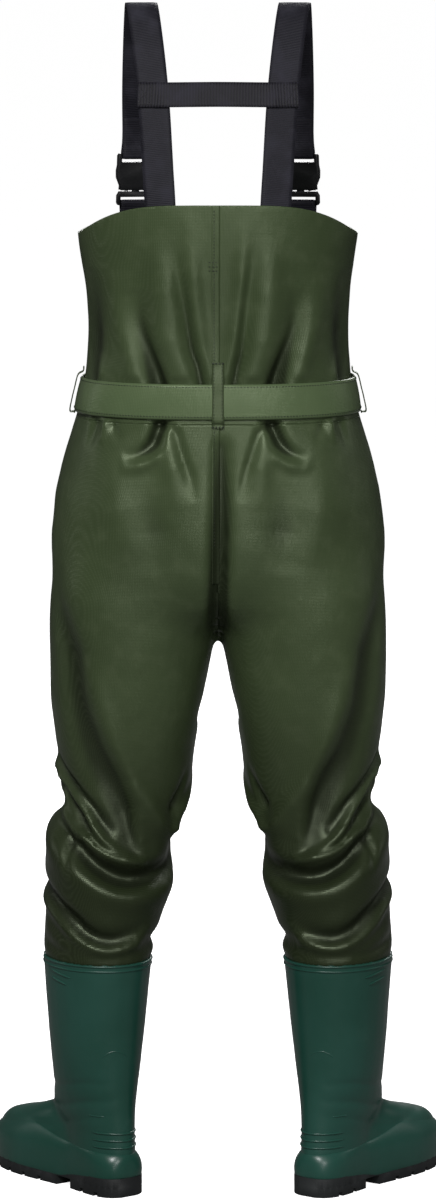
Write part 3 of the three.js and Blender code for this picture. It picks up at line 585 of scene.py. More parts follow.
# a little unevenness, then flat under the belt and calm at the hem and the cuffs
moved += np.array(
    [noise.noise(Vector(p) * 9) * 1.6 + noise.noise(Vector(p) * 26) * 0.5 for p in points]
)
belt_low, belt_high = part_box("waist_belt")
in_belt = ramp(height, belt_low.z - 0.012, belt_low.z) * (
    1 - ramp(height, belt_high.z, belt_high.z + 0.012)
)
moved = np.where(moved > 0, moved * (1 - 0.85 * in_belt), moved)
near_hem = ramp(height, bib_top - 0.085, bib_top - 0.045)
moved = np.where(moved < 0, moved * (1 - 0.9 * near_hem), moved * (1 - 0.35 * near_hem))
moved *= ramp(height, cuff_z + 0.012, cuff_z + 0.04)
move_points(shell.data, points + outwards * (moved / 1000)[:, None])
# painted shade: how far each point is pressed in, kept so that the cloth's finish darkens it there
painted_fold_shade = shell.data.attributes.new("painted_fold_shade", "FLOAT", "POINT")
painted_fold_shade.data.foreach_set("value", np.clip(-moved / FULL_SHADE_DEPTH, 0, 1).astype(np.float32))
modify(shell, "SMOOTH", factor=0.4, iterations=2)
baked(shell)
print("deepest", round(moved.min(), 1), "highest", round(moved.max(), 1), "mm")

# %% [markdown]
# ## Cutting the skin into panels
# The hem is an arch, so the skin is sheared until the hem lies level, cut with a flat plane
# and sheared back. The cuffs, the waist seam and the centre seams are plain cuts, and each
# panel gets its own thin wall on the inside.


# %% Cut, split and thicken
def hem_top(tree, i):
    """Height of the top hem, and its distance out, in one direction."""
    outwards = compass(i)
    low, high, reach = bib_top - 0.09, bib_top + 0.002, 0
    for _ in range(14):
        z = (low + high) / 2
        arm = outside(tree, Vector((0, 0, z)), outwards)
        if arm is None:
            high = z
        else:
            low, reach = z, arm.dot(outwards)
    return low, reach


bib_tree = search_tree(*BIB)
hem_back, _ = hem_top(bib_tree, 1)
hem_side, half_width = hem_top(bib_tree, RING_STEPS // 4)
hem_front, _ = hem_top(bib_tree, RING_STEPS // 2 - 1)
print("hem", round(hem_back, 4), round(hem_side, 4), round(hem_front, 4), round(half_width, 4))


def hem_at(points):
    """Height of the hem above each point of the cloth: a flat-topped arch, back and front."""
    share = np.clip(np.abs(points[:, 0]) / half_width, 0, 1)
    arch = np.where(points[:, 1] < 0, hem_back, hem_front) - hem_side
    return hem_side + arch * (1 - share**4)


def shear(shape, sign):
    """Levels the hem at zero height, or puts it back."""
    verts = list(shape.verts)
    lifts = hem_at(np.array([v.co for v in verts]))
    for v, lift in zip(verts, lifts):
        v.co.z += sign * lift


def cut(shape, place, normal, **which):
    """Cuts a shape by a plane. clear_outer or clear_inner takes a side away."""
    geometry = [*shape.verts, *shape.edges, *shape.faces]
    bmesh.ops.bisect_plane(
        shape, geom=geometry, dist=1e-6, plane_co=place, plane_no=normal, **which
    )


skin = bmesh.new()
skin.from_mesh(shell.data)
cut(skin, (0, 0, cuff_z + 0.001), (0, 0, 1), clear_inner=True)
shear(skin, -1)
cut(skin, (0, 0, -0.0005), (0, 0, 1), clear_outer=True)
shear(skin, 1)


def piece_of(name, planes, keep=lambda p: True, level=False):
    """A piece of the skin between planes, each given as (place, outward normal)."""
    part = skin.copy()
    if level:
        shear(part, -1)
    for place, normal in planes:
        cut(part, place, normal, clear_outer=True)
    if level:
        shear(part, 1)
    spare = [f for f in part.faces if not keep(f.calc_center_median())]
    bmesh.ops.delete(part, geom=spare, context="FACES")
    return smooth_faces(shape_object(name, part))


def lifted(obj, distance):
    """Moves a thin piece off the skin, along its own normals."""
    move_points(obj.data, coordinates(obj.data) + normals(obj.data) * distance)
    return obj


def thickened(obj, thickness, offset=-1):
    """Gives a sheet its wall. offset -1 grows it inwards, 1 outwards."""
    modify(obj, "SOLIDIFY", thickness=thickness, offset=offset, use_even_offset=False)
    return smooth_faces(baked(obj))


CLOTH = 0.0016
UP, DOWN = Vector((0, 0, 1)), Vector((0, 0, -1))
garment = {}
for side, sign in SIDES:
    middle = ((0, 0, 0), Vector((-sign, 0, 0)))
    seam = Vector((0, 0, waist_z))
    garment[f"bib_{side}"] = thickened(piece_of(f"bib_{side}", [middle, (seam, DOWN)]), CLOTH)
    garment[f"leg_{side}"] = thickened(piece_of(f"leg_{side}", [middle, (seam, UP)]), CLOTH)
bpy.data.objects.remove(shell)
for name, obj in garment.items():
    print(name, "triangles", triangles(obj))

# %% Seam bands and the hem's facing
SEAM_LEFT, SEAM_RIGHT = -0.0088, 0.0022
SEAM_LIFT, SEAM_THICK = 0.0001, 0.0009
FACING_GAP, FACING_THICK = 0.0002, 0.001
FACING_DEEP = 0.022
bands = {}


def seam_band(name, low, high, face):
    """The lapped allowance of a centre seam, lying on the skin."""
    planes = [
        ((SEAM_LEFT, 0, 0), Vector((-1, 0, 0))),
        ((SEAM_RIGHT, 0, 0), Vector((1, 0, 0))),
        ((0, 0, low), DOWN),
    ]
    if high is not None:
        planes.append(((0, 0, high), UP))
    obj = piece_of(name, planes, lambda p: p.y * face > 0)
    return thickened(lifted(obj, SEAM_LIFT), SEAM_THICK, 1)


for name, low, high, face in (
    ("back_seam", waist_z + 0.002, None, -1),
    ("front_seam", waist_z + 0.002, None, 1),
    ("seat_seam", seat_low.z, waist_z, -1),
    ("fly_seam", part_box("fly_seam_strip")[0].z, waist_z, 1),
):
    bands[name] = seam_band(name, low, high, face)
for side, sign in SIDES:
    planes = [
        ((0, 0, 0), Vector((-sign, 0, 0))),
        ((0, 0, -FACING_DEEP), DOWN),
        ((0, 0, -0.0015), UP),
    ]
    facing = piece_of(f"hem_facing_band_{side}", planes, level=True)
    bands[f"facing_{side}"] = thickened(lifted(facing, -CLOTH - FACING_GAP), FACING_THICK)
print("bands", sorted(bands))

# %% [markdown]
# ## Straps, belt and loops
# Webbing is a flat woven strip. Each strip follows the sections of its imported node, drawn
# smooth, with soft round edges and its own UV map in metres, so that a weave runs along it
# however it bends.


# %% Soft strips
def strip(name, sections, steps, crown, rim, across_points=9):
    """A closed strip along packed sections. crown swells it outwards, rim thickens its edges."""
    middles = through([s[0] for s in sections], steps)
    widths = through([s[1] for s in sections], steps)
    thick = sections[0][2]
    size = sections[0][1].length
    runs = np.gradient(middles, axis=0)
    runs /= np.linalg.norm(runs, axis=1)[:, None]
    widths -= np.sum(widths * runs, axis=1)[:, None] * runs
    widths /= np.linalg.norm(widths, axis=1)[:, None]
    outs = np.cross(runs, widths)
    length = np.concatenate([[0], np.cumsum(np.linalg.norm(np.diff(middles, axis=0), axis=1))])
    shares = np.linspace(-1, 1, across_points)
    profile = []
    for hand in (1, -1):
        for share in shares[::hand]:
            edge = max(0.0, (abs(share) - 0.8) / 0.2)
            swell = math.exp(-(((abs(share) - 0.86) / 0.07) ** 2))
            half = thick / 2 * (1 - 0.55 * edge**2) + rim * swell
            profile.append((share * size / 2, hand * half + crown * (1 - share**2)))
    count = len(profile)
    points, places, faces = [], [], []
    for c, w, o, u in zip(middles, widths, outs, length):
        for v, lift in profile:
            points.append(c + w * v + o * lift)
            places.append((u, v))
    last = (len(middles) - 1) * count
    for a in range(0, last, count):
        b = a + count
        for i in range(count):
            j = (i + 1) % count
            faces.append((a + i, b + i, b + j, a + j))
    for i in range(count // 2 - 1):
        a, b, c, d = i, i + 1, count - 2 - i, count - 1 - i
        faces.append((a, b, c, d))
        faces.append((last + d, last + c, last + b, last + a))
    obj = mesh_object(name, points, faces)
    shape = bmesh.new()
    shape.from_mesh(obj.data)
    bmesh.ops.recalc_face_normals(shape, faces=shape.faces)
    shape.to_mesh(obj.data)
    shape.free()
    layer = obj.data.uv_layers.new(name="UVMap")
    flat = [c for loop in obj.data.loops for c in places[loop.vertex_index]]
    layer.data.foreach_set("uv", flat)
    return smooth_faces(obj), middles, widths, outs


def outward_sections(sections):
    """The same sections, turned so that the strip's outside faces away from the body."""
    half = len(sections) // 2
    middle, across, _ = sections[half]
    out = (sections[half + 1][0] - sections[half - 1][0]).cross(across)
    if out.dot(Vector((middle.x, middle.y, 0))) < 0:
        return [(c, -w, t) for c, w, t in sections]
    return sections


straps, lines = {}, {}
STRIPS = (  # node, steps, crown, rim, points across
    ("waist_belt", 200, 0.0012, 0.0003, 15),
    ("belt_loop_back", 48, 0.0004, 0.0003),
    ("belt_loop_left", 40, 0.0, 0.0002),
    ("belt_loop_right", 40, 0.0, 0.0002),
    ("belt_loop_front_left", 40, 0.0, 0.0002),
    ("belt_loop_front_right", 40, 0.0, 0.0002),
    ("shoulder_strap_left", 260, 0.0, 0.0001),
    ("shoulder_strap_right", 260, 0.0, 0.0001),
    ("front_tab_left", 90, 0.0, 0.0001),
    ("front_tab_right", 90, 0.0, 0.0001),
    ("cross_strap", 60, 0.0003, 0.0001),
    ("belt_end_tongue_side", 70, 0.0, 0.0001),
    ("belt_end_socket_side", 70, 0.0, 0.0001),
)
for node, *settings in STRIPS:
    sections = outward_sections(strip_sections(node))
    straps[node], *lines[node] = strip(f"{node}_cloth", sections, *settings)
print("strips", len(straps))

# %% [markdown]
# ## Moulded boots
# Each boot is one injection moulding: a shaft, a round-toed foot and ridges cast into its
# skin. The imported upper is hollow, so a lid is set on it and a fine voxel remesh fills it
# to one solid whose skin is then smoothed, which melts the shaft into the foot as a mould
# does. Cutting the lid away and giving the skin a wall opens it again.

# %% Boot shells
BOOT_VOXEL = 0.0033
BOOT_WALL = 0.0035
ANKLE_CREASES = ((0.176, 1.1, 0.25), (0.152, 1.5, 0.35), (0.131, 0.9, 0.45))  # z, mm deep, tilt
boots, boot_trees = {}, {}
for side, sign in SIDES:
    _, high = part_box(f"boot_upper_{side}")
    shape = welded(f"boot_upper_{side}")
    rim = [v.co.copy() for v in shape.verts if v.co.z > high.z - 0.0005]
    centre = sum(rim, Vector()) / len(rim)
    # a lid that overlaps the rim by half a millimetre
    lid = bmesh.ops.create_cone(
        shape, cap_ends=True, segments=48, radius1=0.1, radius2=0.1, depth=0.012
    )
    bmesh.ops.translate(shape, verts=lid["verts"], vec=(centre.x, centre.y, high.z + 0.0055))
    boot = shape_object(f"boot_shell_{side}", shape)
    modify(boot, "REMESH", mode="VOXEL", voxel_size=BOOT_VOXEL)
    baked(boot)
    shape = bmesh.new()
    shape.from_mesh(boot.data)
    cut(shape, (0, 0, high.z - 0.003), (0, 0, 1), clear_outer=True)
    shape.to_mesh(boot.data)
    shape.free()
    modify(boot, "SMOOTH", factor=0.5, iterations=36)
    baked(boot)
    place, out = coordinates(boot.data), normals(boot.data)
    z = place[:, 2]
    swell = np.array([noise.noise(Vector(p) * 14) for p in place]) * 0.7
    creases = np.zeros(len(z))
    for crease_z, depth, tilt in ANKLE_CREASES:
        across = (place[:, 0] - centre.x) * sign
        line = crease_z - tilt * 0.1 * ramp(across, -0.06, 0.09) + 0.004 * np.sin(across * 60)
        creases -= depth * np.exp(-(((z - line) / 0.006) ** 2)) * ramp(across, -0.05, 0.03)
    place += out * ((swell + creases) * ramp(z, 0.034, 0.06) / 1000)[:, None]
    place[:, 2] += ramp(z, high.z - 0.02, z.max()) * (high.z - 0.0002 - z.max())
    move_points(boot.data, place)
    boot_trees[side] = tree_of(boot)
    boots[side] = thickened(boot, BOOT_WALL)
    print("boot", side, "triangles", triangles(boots[side]))


# %% Ridges cast into the boots
TOE_WAY = (1.0, -0.35)  # the way that the right toe points, out and ahead, as (x, -y)
BAND_STEPS = 144


def tube(name, runs, radius):
    """Round ridges along lines of points, as one mesh with closed, tapered ends."""
    curve = bpy.data.curves.new(name, "CURVE")
    curve.dimensions = "3D"
    curve.bevel_depth = radius
    curve.bevel_resolution = 3
    curve.use_fill_caps = True
    for points, closed in runs:
        spline = curve.splines.new("POLY")
        spline.points.add(len(points) - 1)
        spline.use_cyclic_u = closed
        for i, (target, p) in enumerate(zip(spline.points, points)):
            target.co = (*p, 1)
            share = min(i, len(points) - 1 - i) / max(len(points) * 0.2, 1)
            target.radius = 1 if closed else min(1, 0.35 + share)
    obj = bpy.data.objects.new(name, curve)
    graph = bpy.context.evaluated_depsgraph_get()
    scene.collection.objects.link(obj)
    graph.update()
    mesh = bpy.data.meshes.new_from_object(obj.evaluated_get(graph))
    bpy.data.objects.remove(obj)
    made = bpy.data.objects.new(name, mesh)
    mesh.name = name
    scene.collection.objects.link(made)
    return smooth_faces(made)


def heading(angle):
    """The level direction at an angle from straight back."""
    turn = math.radians(angle)
    return Vector((math.sin(turn), -math.cos(turn), 0))


def on_skin(tree, axis, angle, z, lift=0.0):
    """The point of a skin seen from outside at an angle round an upright axis."""
    outwards = heading(angle)
    start = Vector((*axis, z)) + outwards * REACH
    for _ in range(6):  # the rim is uneven, so a ray that passes over it tries lower down
        hit = tree.ray_cast(start, -outwards)[0]
        if hit is not None:
            break
        start.z -= 0.001
    return hit + outwards * lift


def foxing(name, side, sign, foot):
    """The moulded band that wraps the upper down over the sole, lowest at the toe."""
    upper, sole = boot_trees[side], search_tree(f"outsole_{side}")
    toe = math.degrees(math.atan2(*TOE_WAY)) * sign
    centre = Vector((*foot, 0))
    rings = [[] for _ in range(9)]
    for i in range(BAND_STEPS):
        angle = 360 * i / BAND_STEPS
        away = heading(angle)
        to_toe = 0.5 + 0.5 * math.cos(math.radians(angle - toe))
        high = 0.062 + 0.026 * to_toe  # the upper edge, over the toe cap and round the heel
        low = 0.0265 - 0.0145 * ramp(to_toe, 0.12, 0.45)
        edge, tread, top = (
            (on_skin(tree, foot, angle, z) - centre).dot(away)
            for tree, z in ((sole, 0.030), (sole, 0.016), (upper, high))
        )
        out = max(edge, tread)
        profile = (
            (top - 0.0010, high + 0.0010), (top + 0.0002, high - 0.0020),
            (top + (out - top) * 0.55 + 0.0022, high * 0.62 + 0.016),
            (out + 0.0006, high * 0.4 + 0.020), (out + 0.0014, 0.038),
            (out + 0.0010, low + 0.006), (out + 0.0004 - 0.0012 * to_toe, low),
            (out - 0.0030, low), (top - 0.0050, 0.040),
        )
        for ring, (reach, z) in zip(rings, profile):
            ring.append(away * reach + Vector((*foot, z)))
    shape = bmesh.new()
    made = [[shape.verts.new(p) for p in ring] for ring in rings]
    for a, b in zip(made, made[1:] + made[:1]):
        for i in range(BAND_STEPS):
            j = (i + 1) % BAND_STEPS
            shape.faces.new((a[i], b[i], b[j], a[j]))
    bmesh.ops.recalc_face_normals(shape, faces=shape.faces)
    band = shape_object(name, shape)
    modify(band, "SUBSURF", levels=1, render_levels=1)
    modify(band, "SMOOTH", factor=0.5, iterations=3)
    return smooth_faces(baked(band))


ridges = {}
for side, sign in SIDES:
    tree = boot_trees[side]
    _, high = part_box(f"boot_upper_{side}")
    sole_low, sole_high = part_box(f"outsole_{side}")
    shaft = leg_rows[side][0][1:3]
    foot = ((sole_low.x + sole_high.x) / 2, (sole_low.y + sole_high.y) / 2)
    runs = []
    # two rings round the top, and two short ridges that rise under them
    for z in (high.z - 0.0022, high.z - 0.0095):
        runs.append(([on_skin(tree, shaft, a, z) for a in range(0, 360, 5)], True))
    for z, start, end in ((high.z - 0.022, 34, 66), (high.z - 0.033, 40, 66)):
        angles = np.linspace(start, end, 10)
        places = [(a * sign, z + 0.007 * (a - start) / (end - start)) for a in angles]
        runs.append(([on_skin(tree, shaft, a, z, 0.0002) for a, z in places], False))
    # three ridges over the heel, then two faint lines on the ankle
    for i, z in enumerate((0.093, 0.0825, 0.072)):
        angles = np.linspace(-62 - 2 * i, 16, 24) * sign
        runs.append(([on_skin(tree, shaft, a, z, 0.0003) for a in angles], False))
    angles = np.linspace(2, -34, 15)
    arc = [(a, 0.205 + 0.012 * math.sin(math.pi * i / 14)) for i, a in enumerate(angles)]
    runs.append(([on_skin(tree, shaft, sign * a, z, -0.0011) for a, z in arc], False))
    angles = np.linspace(22, -4, 12) * sign
    runs.append(([on_skin(tree, shaft, a, 0.118, -0.0009) for a in angles], False))
    ridges[f"boot_ridges_{side}"] = tube(f"boot_ridges_{side}", runs, 0.0016)
    ridges[f"boot_welt_{side}"] = foxing(f"boot_welt_{side}", side, sign, foot)
print("ridges", sorted(ridges))


# %% [markdown]
# ## Soles, insoles and buckles
# The soles and the side-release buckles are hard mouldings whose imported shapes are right,
# but no moulding has a knife edge. A copy of each is welded, its flat faces are joined up
# and every edge gets a small rounding, which is what catches the light on black plastic.

# %% Rounded copies of hard mouldings
JOINED_UNDER, ROUNDED_OVER, SHARP_OVER = 2, 32, 40  # degrees between two faces


def rounded(node, width):
    """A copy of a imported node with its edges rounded."""
    shape = welded(node)
    bmesh.ops.dissolve_limit(
        shape, angle_limit=math.radians(JOINED_UNDER), verts=shape.verts, edges=shape.edges
    )
    obj = shape_object(f"{node}_moulding", shape)
    modify(
        obj, "BEVEL", width=width, segments=2, limit_method="ANGLE",
        angle_limit=math.radians(ROUNDED_OVER),
    )
    modify(obj, "TRIANGULATE")
    smooth_faces(baked(obj))
    obj.data.set_sharp_from_angle(angle=math.radians(SHARP_OVER))
    return obj


BUCKLES = ("strap_buckle_left", "strap_buckle_right", "belt_buckle")
BUCKLE_PARTS = ("socket", "tongue", "arm_a", "arm_b")
mouldings = {}
for prefix in BUCKLES:
    for part in BUCKLE_PARTS:
        mouldings[f"{prefix}_{part}"] = rounded(f"{prefix}_{part}", 0.0006)
for side, _ in SIDES:
    mouldings[f"outsole_{side}"] = rounded(f"outsole_{side}", 0.0013)
    mouldings[f"insole_{side}"] = rounded(f"insole_{side}", 0.0012)
print("mouldings", len(mouldings))

# %% [markdown]
# ## Stitching
# A row of stitches is one short bead of thread repeated along a line, so Geometry Nodes
# make it: the line is resampled at the stitch pitch, a bead is set on every point, turned
# along the line and away from the cloth, and the result is made real. The lines carry an
# `outwards` direction, measured from the cloth that they lie on.


# %% The row of stitches
def stitch_tree():
    """Geometry Nodes that set a bead at even steps along each line."""
    tree = bpy.data.node_groups.new("row_of_stitches", "GeometryNodeTree")
    for name, kind in (
        ("Lines", "NodeSocketGeometry"),
        ("Pitch", "NodeSocketFloat"),
        ("Bead", "NodeSocketVector"),
        ("Thread", "NodeSocketMaterial"),
    ):
        tree.interface.new_socket(name, in_out="INPUT", socket_type=kind)
    tree.interface.new_socket("Stitches", in_out="OUTPUT", socket_type="NodeSocketGeometry")
    new = tree.nodes.new
    given, result = new("NodeGroupInput"), new("NodeGroupOutput")
    curve = new("GeometryNodeMeshToCurve")
    even = new("GeometryNodeResampleCurve")
    even.mode = "LENGTH"
    run = new("GeometryNodeInputTangent")
    out = new("GeometryNodeInputNamedAttribute")
    out.data_type = "FLOAT_VECTOR"
    out.inputs["Name"].default_value = "outwards"
    lie = new("FunctionNodeAlignRotationToVector")
    lie.axis = "X"
    stand = new("FunctionNodeAlignRotationToVector")
    stand.axis, stand.pivot_axis = "Z", "X"
    bead = new("GeometryNodeMeshUVSphere")
    for key, value in (("Segments", 6), ("Rings", 5), ("Radius", 0.5)):
        bead.inputs[key].default_value = value
    soft = new("GeometryNodeSetShadeSmooth")
    put = new("GeometryNodeInstanceOnPoints")
    real = new("GeometryNodeRealizeInstances")
    paint = new("GeometryNodeSetMaterial")
    for source, value, target, into in (
        (given, "Lines", curve, "Mesh"), (curve, "Curve", even, "Curve"),
        (given, "Pitch", even, "Length"), (even, "Curve", put, "Points"),
        (run, "Tangent", lie, "Vector"), (lie, "Rotation", stand, "Rotation"),
        (out, "Attribute", stand, "Vector"), (stand, "Rotation", put, "Rotation"),
        (given, "Bead", put, "Scale"), (bead, "Mesh", soft, "Geometry"),
        (soft, "Geometry", put, "Instance"), (put, "Instances", real, "Geometry"),
        (real, "Geometry", paint, "Geometry"), (given, "Thread", paint, "Material"),
        (paint, "Geometry", result, "Stitches"),
    ):
        tree.links.new(source.outputs[value], target.inputs[into])
    return tree


ROWS = stitch_tree()


def stitches(name, rows, pitch, bead, thread):
    """One mesh of stitches along rows, each a list of (point, outward direction)."""
    mesh = bpy.data.meshes.new(name)
    points = [p for row in rows for p, _ in row]
    edges, start = [], 0
    for row in rows:
        edges += [(start + i, start + i + 1) for i in range(len(row) - 1)]
        start += len(row)
    mesh.from_pydata([tuple(p) for p in points], edges, [])
    away = mesh.attributes.new("outwards", "FLOAT_VECTOR", "POINT")
    away.data.foreach_set("vector", [c for row in rows for _, n in row for c in n])
    obj = bpy.data.objects.new(name, mesh)
    modifier = obj.modifiers.new("stitches", "NODES")
    modifier.node_group = ROWS
    sockets = {s.name: s.identifier for s in ROWS.interface.items_tree if s.in_out == "INPUT"}
    modifier[sockets["Pitch"]] = pitch
    modifier[sockets["Bead"]] = bead
    modifier[sockets["Thread"]] = thread
    scene.collection.objects.link(obj)
    baked(obj)
    print(name, "rows", len(rows), "triangles", triangles(obj))
    return obj


# %% [markdown]
# ## Finishes
# The cloth is nylon coated with satin PVC, so it is a dark olive with a soft sheen, a very
# fine weave that shows through the film, and cloudy patches of rougher film. The belt is
# the same cloth, cut double and pressed smooth. The webbing is ribbed black polyester, the
# boots are glossy moulded PVC, and the soles are matt. Patterns are made from object
# coordinates, or from the strips' own UV maps where a weave has to follow a strap.


# %% Shader helpers
def linear(red, green, blue):
    """A colour given in the usual 0 to 255, as the shader wants it."""
    channels = []
    for c in (red, green, blue):
        c /= 255
        channels.append(c / 12.92 if c <= 0.04045 else ((c + 0.055) / 1.055) ** 2.4)
    return (*channels, 1)


class Finish:
    """A material under construction: its nodes, and short ways to add them."""

    def __init__(self, name, **settings):
        self.material = bpy.data.materials.new(name)
        self.material.use_nodes = True
        self.tree = self.material.node_tree
        self.shader = self.tree.nodes["Principled BSDF"]
        for key, value in settings.items():
            self.shader.inputs[key.replace("_", " ")].default_value = value
        self.coordinates = self.tree.nodes.new("ShaderNodeTexCoord")
        self.heights = []

    def node(self, kind, inputs=(), **settings):
        """A new node, its inputs set to values or linked to other nodes."""
        made = self.tree.nodes.new(kind)
        for key, value in settings.items():
            setattr(made, key, value)
        for key, value in dict(inputs).items():
            if isinstance(value, bpy.types.NodeSocket):
                self.tree.links.new(value, made.inputs[key])
            else:
                made.inputs[key].default_value = value
        return made

    def clouds(self, scale, detail=3.0, roughness=0.55, stretch=None):
        """Soft random patches on object coordinates, from 0 to 1."""
        place = self.coordinates.outputs["Object"]
        if stretch:
            place = self.node(
                "ShaderNodeMapping", {"Vector": place, "Scale": stretch}
            ).outputs["Vector"]
        inputs = {"Vector": place, "Scale": scale, "Detail": detail, "Roughness": roughness}
        return self.node("ShaderNodeTexNoise", inputs).outputs["Fac"]

    def ramp(self, value, low, high, start=0.0, end=1.0):
        """A value moved from one range to another, and held at its ends."""
        inputs = {0: value, 1: low, 2: high, 3: start, 4: end}
        return self.node("ShaderNodeMapRange", inputs, interpolation_type="SMOOTHSTEP").outputs[0]

    def maths(self, operation, a, b=0.0):
        """One sum."""
        return self.node("ShaderNodeMath", {0: a, 1: b}, operation=operation).outputs[0]

    def blend(self, share, a, b):
        """A share of the way from colour a to colour b."""
        inputs = {"Factor": share, 6: a, 7: b}
        return self.node("ShaderNodeMix", inputs, data_type="RGBA").outputs[2]

    def bands(self, value, pitch):
        """Even bands of a pitch along a value, from 0 to 1."""
        wave = self.maths("SINE", self.maths("MULTIPLY", value, 2 * math.pi / pitch))
        return self.maths("ADD", self.maths("MULTIPLY", wave, 0.5), 0.5)

    def height(self, value, depth):
        """Adds a relief of that depth, in metres."""
        self.heights.append((value, depth))

    def done(self, colour, roughness):
        """The finished material, with its reliefs laid over each other."""
        link = self.tree.links.new
        link(colour, self.shader.inputs["Base Color"])
        link(roughness, self.shader.inputs["Roughness"])
        below = None
        for value, depth in self.heights:
            bump = self.node("ShaderNodeBump", {"Height": value, "Distance": depth})
            bump.inputs["Strength"].default_value = 1.0
            if below is not None:
                link(below, bump.inputs["Normal"])
            below = bump.outputs["Normal"]
        if below is not None:
            link(below, self.shader.inputs["Normal"])
        return self.material


# %% Coated cloth
THREAD = 0.0021  # pitch of the cloth's weave


def coated_cloth(name, deep, pale, roughness, shaded=True):
    """Satin PVC on nylon: a woven relief, a cloudy film, and painted shade low down and in folds.
    """
    f = Finish(name, Specular_IOR_Level=0.55, Sheen_Weight=0.02, Sheen_Roughness=0.5)
    f.shader.inputs["Sheen Tint"].default_value = linear(170, 185, 150)
    f.shader.inputs["Specular Tint"].default_value = linear(220, 235, 200)
    patches = f.clouds(3.2, 4)
    mottle = f.clouds(38, 3)
    colour = f.blend(f.ramp(patches, 0.3, 0.7), deep, pale)
    colour = f.blend(f.ramp(mottle, 0.45, 0.8, 0, 0.16), colour, linear(96, 106, 80))
    place = f.node("ShaderNodeSeparateXYZ", {0: f.coordinates.outputs["Object"]})
    if shaded:
        # painted shade: darker from the thighs down, and darker still where a fold is pressed in
        low = f.ramp(place.outputs["Z"], 0.46, 0.80, 0.92, 0.0)
        colour = f.blend(low, colour, linear(31, 38, 21))
        fold_shade = f.node("ShaderNodeAttribute", attribute_name="painted_fold_shade").outputs["Fac"]
        colour = f.blend(f.ramp(fold_shade, 0.12, 0.85, 0.0, 0.8), colour, linear(20, 24, 15))
    across = f.maths("ADD", place.outputs["X"], place.outputs["Y"])
    weave = f.maths("MULTIPLY", f.bands(across, THREAD), f.bands(place.outputs["Z"], THREAD))
    colour = f.blend(f.ramp(weave, 0.0, 1.0, 0.0, 0.10), colour, linear(112, 124, 96))
    f.height(weave, 0.00012)
    f.height(f.clouds(60, 4, stretch=(1, 1, 0.45)), 0.0007)
    film = f.ramp(f.clouds(11, 5), 0.3, 0.75, roughness - 0.06, roughness + 0.1)
    return f.done(colour, film)


body_cloth = coated_cloth("coated_cloth", linear(54, 66, 42), linear(66, 79, 52), 0.37)
belt_cloth = coated_cloth("belt_cloth", linear(78, 95, 64), linear(92, 108, 76), 0.32, False)


# %% Webbing
def woven_webbing(name, deep, pale, pitch, relief):
    """Ribbed polyester webbing. Its ribs run across the strap, and its edges are denser."""
    f = Finish(name, Specular_IOR_Level=0.3, Sheen_Weight=0.12, Sheen_Roughness=0.4)
    f.shader.inputs["Sheen Tint"].default_value = linear(150, 150, 175)
    place = f.node("ShaderNodeSeparateXYZ", {0: f.coordinates.outputs["UV"]})
    along, across = place.outputs["X"], place.outputs["Y"]
    ribs = f.bands(along, pitch)
    warp = f.bands(across, 0.0012)
    edge = f.ramp(f.maths("ABSOLUTE", across), 0.0165, 0.0205)
    threads = f.maths("MULTIPLY", ribs, f.maths("ADD", f.maths("MULTIPLY", warp, 0.4), 0.6))
    wear = f.ramp(f.clouds(24, 5), 0.42, 0.75)
    colour = f.blend(threads, deep, pale)
    colour = f.blend(f.maths("MULTIPLY", wear, 0.3), colour, linear(78, 77, 88))
    colour = f.blend(f.maths("MULTIPLY", edge, 0.35), colour, deep)
    f.height(threads, relief)
    return f.done(colour, f.ramp(wear, 0, 1, 0.62, 0.82))


strap_webbing = woven_webbing(
    "strap_webbing", linear(15, 14, 21), linear(33, 32, 43), 0.0026, 0.0003
)
cross_webbing = woven_webbing(
    "cross_webbing", linear(12, 11, 16), linear(36, 34, 43), 0.0042, 0.0004
)


# %% Moulded plastics and thread
def moulded(name, deep, pale, roughness, coat, grain, relief, scuffs, spread):
    """Moulded plastic: cloudy colour, an orange-peel or grained skin and rubbed places."""
    f = Finish(name, Coat_Weight=coat, Coat_Roughness=0.18, Specular_IOR_Level=0.5)
    clouds = f.clouds(4.5, 4)
    colour = f.blend(f.ramp(clouds, 0.3, 0.7), deep, pale)
    rubbed = f.ramp(f.clouds(16, 6, 0.65), 0.56, 0.78)
    colour = f.blend(f.maths("MULTIPLY", rubbed, 0.22), colour, scuffs)
    f.height(f.clouds(grain, 3), relief)
    film = f.ramp(f.clouds(9, 5), 0.3, 0.75, roughness - spread, roughness + spread)
    return f.done(colour, f.maths("ADD", film, f.maths("MULTIPLY", rubbed, 0.12)))


boot_pvc, sole_rubber, buckle_nylon, insole_felt, green_thread, black_thread = (
    moulded(name, linear(*deep), linear(*pale), *numbers, linear(*scuffs), spread)
    for name, deep, pale, scuffs, numbers, spread in (
        ("boot_pvc", (27, 70, 58), (37, 82, 71), (66, 100, 88), (0.33, 0.1, 130, 0.00012), 0.05),
        ("sole_rubber", (24, 26, 27), (36, 39, 40), (70, 72, 70), (0.6, 0.0, 420, 0.0002), 0.05),
        ("buckle_nylon", (13, 13, 16), (20, 20, 23), (52, 52, 56), (0.4, 0, 700, 0.00008), 0.05),
        ("insole_felt", (84, 86, 78), (104, 104, 94), (60, 60, 54), (0.9, 0, 900, 0.0004), 0.05),
        ("green_thread", (20, 26, 17), (32, 40, 26), (48, 56, 40), (0.55, 0, 900, 0.0001), 0.04),
        ("black_thread", (10, 10, 13), (20, 20, 25), (70, 70, 78), (0.55, 0, 900, 0.0001), 0.04),
    )
)
print("finishes", len(bpy.data.materials))

# %% [markdown]
# ## Where the stitches run
# Down the centre seam, along both edges of the belt, round the loops and in a crossed box
# where the cross strap is sewn over the shoulder straps.


# %% Stitch lines
def laid_on(tree, places, behind=-1, lift=0.0003):
    """Points (x, z) laid on the cloth from behind (-1) or in front (1)."""
    row = []
    for x, z in places:
        hit, normal, *_ = tree.ray_cast(Vector((x, behind * REACH, z)), Vector((0, -behind, 0)))
        if hit is not None:
            row.append((hit + normal * lift, normal))
    return row


